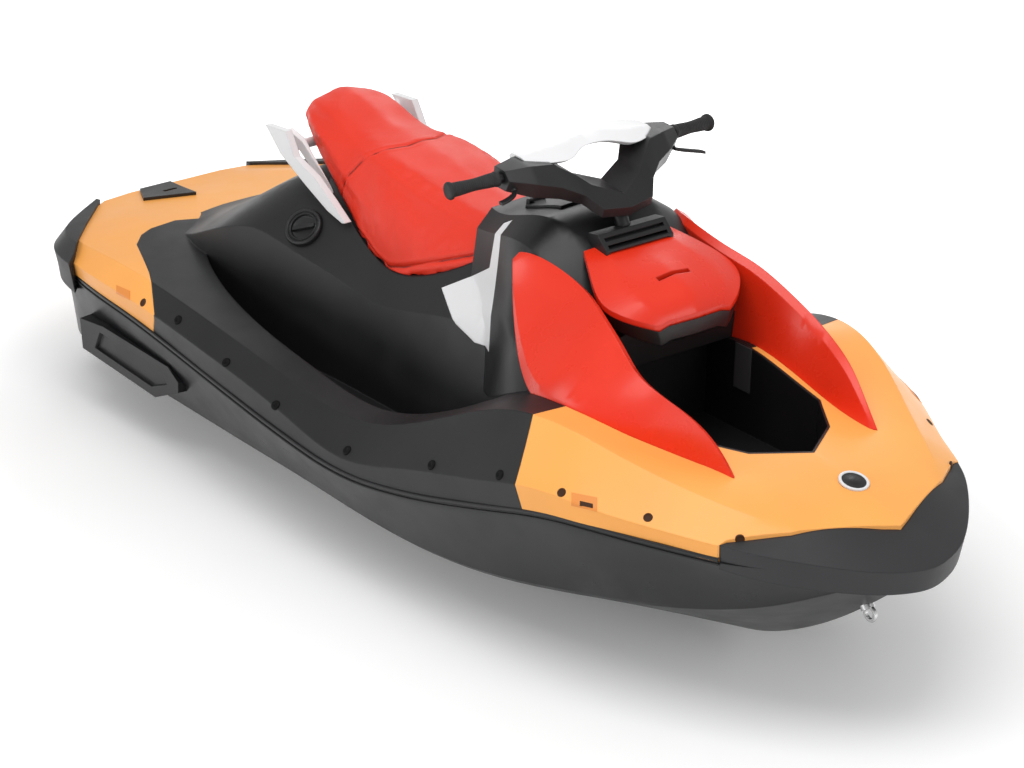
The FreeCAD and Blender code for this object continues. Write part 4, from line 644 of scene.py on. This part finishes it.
# Joint of hull and deck: stations along the length, then shares of half beam and height
LENGTH, HALF_BEAM, HEIGHT = 3.05, 0.59, 1.07
STATIONS = (0.020, 0.043, 0.072, 0.115, 0.164, 0.230, 0.344, 0.443, 0.525, 0.607, 0.689, 0.754,
            0.803, 0.852, 0.889)
BOND_Y = (0.424, 0.602, 0.780, 0.881, 0.920, 0.946, 0.980, 0.992, 0.992, 0.980, 0.958, 0.927,
          0.856, 0.725, 0.628)
BOND_Z = (0.313, 0.316, 0.320, 0.324, 0.325, 0.324, 0.297, 0.266, 0.250, 0.288, 0.350, 0.402,
          0.409, 0.400, 0.398)
LIP_PROFILE = [(-0.006, -0.010), (0.0045, -0.009), (0.0065, -0.006), (0.0065, -0.001),
               (0.0020, 0.001), (0.0020, 0.004), (0.0060, 0.006), (0.0060, 0.009), (-0.006, 0.011)]


def bond_line(side):
    """Smooth line through the joint's stations, as points."""
    points = [Vector(((x - 0.5) * LENGTH, side * y * HALF_BEAM, z * HEIGHT - DRAFT))
              for x, y, z in zip(STATIONS, BOND_Y, BOND_Z)]
    curve = bpy.data.curves.new("bond", "CURVE")
    curve.dimensions = "3D"
    line = curve.splines.new("NURBS")
    line.points.add(len(points) - 1)
    for handle, point in zip(line.points, points):
        handle.co = (*point, 1.0)
    line.order_u, line.use_endpoint_u = 3, True
    curve.resolution_u = 10
    holder = bpy.data.objects.new("bond", curve)
    bpy.context.scene.collection.objects.link(holder)
    verts = [v.co.copy() for v in applied(holder).vertices]
    bpy.data.objects.remove(holder)
    return verts


def bond_rails():
    """Thin lip that covers the joint of hull and deck all round."""
    for side, tag in ((-1, "right"), (1, "left")):
        verts = bond_line(side)
        path = []
        for index, point in enumerate(verts):
            ahead, behind = verts[min(index + 1, len(verts) - 1)], verts[max(index - 1, 0)]
            out = (ahead - behind).normalized().cross(Vector((0, 0, 1))).normalized()
            if out.y * side < 0:
                out = -out
            path.append((point, out))
        name = "bond_lip_" + tag
        crisp(piece(name, ribbon(name, path, LIP_PROFILE), "black_trim"))


# Places in points of the photograph, sizes in metres
DECK_PLUGS = ((178, 320), (226, 362.5), (275.5, 405), (347, 450.5), (431.5, 465), (499.5, 475))
SHELL_HOLES = ((561.5, 492.5), (648, 517.5), (740, 539.5), (143, 302.5))
PLUG_RADIUS, PLUG_RISE = 0.0115, 0.004
HOLE_RADIUS, HOLE_RISE = 0.0085, 0.0012
BOW_STEP = ((571.5, 492.5), (597, 497.5), (597, 511.5), (571.5, 505.5))
BOW_SLOT = ((580, 501), (593, 504), (593, 508.5), (580, 505.5))
STERN_STEP = ((116.5, 285), (130, 291), (130, 300), (116.5, 293.5))
STEP_RISE, SLOT_RISE = 0.0012, 0.0018


def small_details():
    """Plugs, open holes and shallow recesses of the shell, the same on both sides: raised pieces whose
    near-black and dark colours are painted shade standing in for the depth of holes and recesses.
    """
    shell = tree_of("deck", "hull", "bow_deck", "stern_deck")
    # The plugs are drawn near-black as painted shade of holes.
    studs("deck_plug", shell, DECK_PLUGS, plug_profile(PLUG_RADIUS, PLUG_RISE), "black_trim", "painted_plug_shade")
    # The rings and discs are dark brown as painted shade of open holes.
    studs("shell_hole_shade", shell, SHELL_HOLES, hole_shade_profile(HOLE_RADIUS, HOLE_RISE), "orange_shell", "painted_hole_shade")
    # The steps are thin raised plates painted darker orange as the shade of recesses, and the slot is a
    # dark plate of painted shade.
    patch("bow_step", shell, BOW_STEP, STEP_RISE, "painted_recess_shade")
    patch("bow_step_slot", shell, BOW_SLOT, SLOT_RISE, "painted_hole_shade")
    patch("stern_step", shell, STERN_STEP, STEP_RISE, "painted_recess_shade")


ROUND_SIDES = 48
LID_PROFILE = [(-0.008, 0.052), (0.004, 0.052), (0.010, 0.0505), (0.013, 0.0475), (0.0135, 0.045),
               (0.0125, 0.0425), (0.009, 0.041), (0.0085, 0.039), (0.0115, 0.0375),
               (0.0115, 0.0345), (0.005, 0.0325), (0.0035, 0.028), (0.0035, 0.001)]
LID_BAR_REACH, LID_BAR_FOOT, LID_BAR_TILT = 0.0335, 0.003, Vector((1, 0, 0.9))
LID_BAR_RINGS = ((-1.0, 0.004, 0.004), (-0.9, 0.0065, 0.011), (-0.4, 0.008, 0.0135),
                 (0.4, 0.008, 0.0135), (0.9, 0.0065, 0.011), (1.0, 0.004, 0.004))


def lid_bar(spot, normal):
    """Grip bar across the lid, with sloped ends and sides."""
    along = (LID_BAR_TILT - normal * LID_BAR_TILT.dot(normal)).normalized()
    across = normal.cross(along)
    verts, faces = [], []
    for share, width, rise in LID_BAR_RINGS:
        for out, up in ((-width, LID_BAR_FOOT), (-width * 0.7, rise), (width * 0.7, rise),
                        (width, LID_BAR_FOOT)):
            verts.append(spot + along * share * LID_BAR_REACH + across * out + normal * up)
    for ring in range(len(LID_BAR_RINGS) - 1):
        for k in range(3):
            a = ring * 4 + k
            faces.append((a, a + 1, a + 5, a + 4))
        faces.append((ring * 4 + 3, ring * 4, ring * 4 + 4, ring * 4 + 7))
    faces += [(0, 1, 2, 3), (23, 22, 21, 20)]
    return mesh_of("filler_grip", verts, faces)


def filler_lid():
    """Screw lid of the fuel filler: ring, dished face and a grip bar across it."""
    low, high = (Vector(c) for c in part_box("filler_cap"))
    spot, normal, _, _ = tree_of("deck").find_nearest((low + high) / 2)
    if normal.y > 0:
        normal = -normal
    lid = piece("filler_lid", lathe("filler_lid", spot, normal, LID_PROFILE, ROUND_SIDES), "black_trim")
    crisp(lid, LID_EDGE)
    crisp(piece("filler_grip", lid_bar(spot, normal), "black_trim"))
    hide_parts("filler_cap")


PLATE_SPOT = (859, 480)
PLATE_PROFILE = [(-0.004, 0.0355), (0.0015, 0.0355), (0.0030, 0.034), (0.0030, 0.0315),
                 (0.0018, 0.030), (0.0018, 0.012), (0.0022, 0.011), (0.0022, 0.0005)]
PLATE_RIM = [(-0.002, 0.0362), (0.0022, 0.0362), (0.0034, 0.0350), (0.0034, 0.0300),
             (0.0020, 0.0290), (-0.002, 0.0288)]


def bow_plate():
    """Plain round plate set in the middle of the bow deck."""
    deck = tree_of("bow_deck")
    ahead = seen_at(deck, *PLATE_SPOT)[0].x
    spot, normal, _, _ = deck.ray_cast(Vector((ahead, 0.0001, OVERHEAD)), DOWN)
    spot.y = normal.y = 0
    normal.normalize()
    for name, profile, slot in (("bow_plate", PLATE_PROFILE, "black_trim"),
                                ("bow_plate_rim", PLATE_RIM, "white_plastic")):
        crisp(piece(name, lathe(name, spot, normal, profile, ROUND_SIDES), slot))


MAT_START, MAT_LENGTH, MAT_INNER, MAT_WIDTH = -0.60, 0.84, 0.345, 0.075
MAT_STEPS, MAT_ROWS, MAT_RISE, MAT_SINK, MAT_ABOVE = 34, 6, 0.003, 0.002, 0.6


def foot_mats():
    """Mats with a raised tread that lie on the footwell floors."""
    deck = tree_of("deck")
    n, total = MAT_ROWS + 1, (MAT_STEPS + 1) * (MAT_ROWS + 1)
    edge = rim_of(MAT_STEPS + 1, n)
    for side, tag in ((-1, "right"), (1, "left")):
        grid = []
        for i in range(MAT_STEPS + 1):
            x = MAT_START + MAT_LENGTH * i / MAT_STEPS
            for j in range(n):
                y = side * (MAT_INNER + MAT_WIDTH * j / MAT_ROWS)
                grid.append(deck.ray_cast(Vector((x, y, MAT_ABOVE)), DOWN)[0])
        verts = [p + Vector((0, 0, height)) for height in (MAT_RISE, -MAT_SINK) for p in grid]
        faces = []
        for i in range(MAT_STEPS):
            for j in range(MAT_ROWS):
                a = i * n + j
                faces.append((a, a + n, a + n + 1, a + 1))
        for a, b in zip(edge, edge[1:]):
            faces.append((a, b, b + total, a + total))
        faces = faces if side < 0 else [f[::-1] for f in faces]
        name = "foot_mat_" + tag
        crisp(piece(name, mesh_of(name, verts, faces), "black_rubber", material="tread"))


# Floor, backdrop and light
FLOOR_HALF, FLOOR_GAP = 30.0, 0.004
SHADOW_SCALE, SHADOW_NEAR, SHADOW_FAR = (0.45, 0.7, 0.0), 0.75, 1.5
FLOOR_LIFT, WHITE_LEVEL, WORLD_LEVEL = 0.14, 1.0, 0.55


def add_stage():
    """Pale floor that the camera sees as white, apart from the object's shadow."""
    floor = bpy.data.meshes.new("floor")
    size, low = FLOOR_HALF, -DRAFT - FLOOR_GAP
    floor.from_pydata([(-size, -size, low), (size, -size, low), (size, size, low), (-size, size, low)],
                      [], [(0, 1, 2, 3)])
    obj = bpy.data.objects.new("floor", floor)
    bpy.context.scene.collection.objects.link(obj)
    g = Graph("floor")
    path = g.add("ShaderNodeLightPath")
    seen = g.add("ShaderNodeMath", operation="MAXIMUM")
    g.link(path.outputs["Is Camera Ray"], seen.inputs[0])
    g.link(path.outputs["Is Glossy Ray"], seen.inputs[1])
    g.link(g.mix(g.noise(3.0), (0.90, 0.90, 0.90), (0.93, 0.93, 0.93)), g.shader.inputs["Base Color"])
    g.shader.inputs["Roughness"].default_value = 0.9
    g.shader.inputs["Emission Color"].default_value = (1, 1, 1, 1)
    flat = g.add("ShaderNodeMapping")
    flat.inputs["Scale"].default_value = SHADOW_SCALE
    g.link(g.coords, flat.inputs["Vector"])
    away = g.add("ShaderNodeVectorMath", operation="LENGTH")
    g.link(flat.outputs[0], away.inputs[0])
    lift = g.add("ShaderNodeMath", operation="MULTIPLY")
    g.link(seen.outputs[0], lift.inputs[0])
    g.link(g.remap(away.outputs["Value"], SHADOW_NEAR, SHADOW_FAR, FLOOR_LIFT, WHITE_LEVEL),
           lift.inputs[1])
    g.link(lift.outputs[0], g.shader.inputs["Emission Strength"])
    floor.materials.append(g.material)


def add_world():
    """Even light from all round, white where the camera sees it."""
    world = bpy.data.worlds.new("studio")
    bpy.context.scene.world = world
    world.use_nodes = True
    tree = world.node_tree
    shader = tree.nodes["Background"]
    path = tree.nodes.new("ShaderNodeLightPath")
    seen = tree.nodes.new("ShaderNodeMath")
    seen.operation = "MAXIMUM"
    tree.links.new(path.outputs["Is Camera Ray"], seen.inputs[0])
    tree.links.new(path.outputs["Is Transmission Ray"], seen.inputs[1])
    level = tree.nodes.new("ShaderNodeMapRange")
    level.inputs["To Min"].default_value = WORLD_LEVEL
    level.inputs["To Max"].default_value = WHITE_LEVEL
    tree.links.new(seen.outputs[0], level.inputs["Value"])
    tree.links.new(level.outputs["Result"], shader.inputs["Strength"])
    shader.inputs["Color"].default_value = (1, 1, 1, 1)


def add_light(name, place, target, size, power):
    data = bpy.data.lights.new(name, "AREA")
    data.shape = "RECTANGLE"
    data.size, data.size_y = size
    data.energy = power
    light = bpy.data.objects.new(name, data)
    light.location = place
    light.rotation_euler = (Vector(target) - Vector(place)).to_track_quat("-Z", "Y").to_euler()
    bpy.context.scene.collection.objects.link(light)


# Name, place, target, size in metres and power in watts
LAMPS = (("key", (1.0, -1.5, 5.0), (0, 0, 0.2), (4.5, 3.0), 135),
         ("bow_fill", (6.0, 1.5, 2.6), (0.5, 0, 0.2), (2.5, 2.0), 45),
         ("side_fill", (-1.5, -6.0, 2.2), (0, 0, 0.3), (3.5, 1.6), 60),
         ("back", (-4.0, 4.0, 3.5), (0, 0, 0.4), (3.0, 2.0), 60))
SHELLS = ("hull", "deck", "bow_deck", "stern_deck")
REPLACED = ("seat_cushion", "filler_cap", "grip_left", "grip_right")

bpy.context.scene.view_settings.view_transform = "Standard"
add_camera()
add_stage()
add_world()
for lamp in LAMPS:
    add_light(*lamp)

for node_name, node in NODES.items():
    dress(node, SLOT_OF[node_name])
for node_name, node in NODES.items():
    if node_name not in REPLACED:
        crisp(node, SHELL_EDGE if node_name in SHELLS else HARD_EDGE)
seat_pad()
grips()
bond_rails()
small_details()
filler_lid()
bow_plate()
foot_mats()
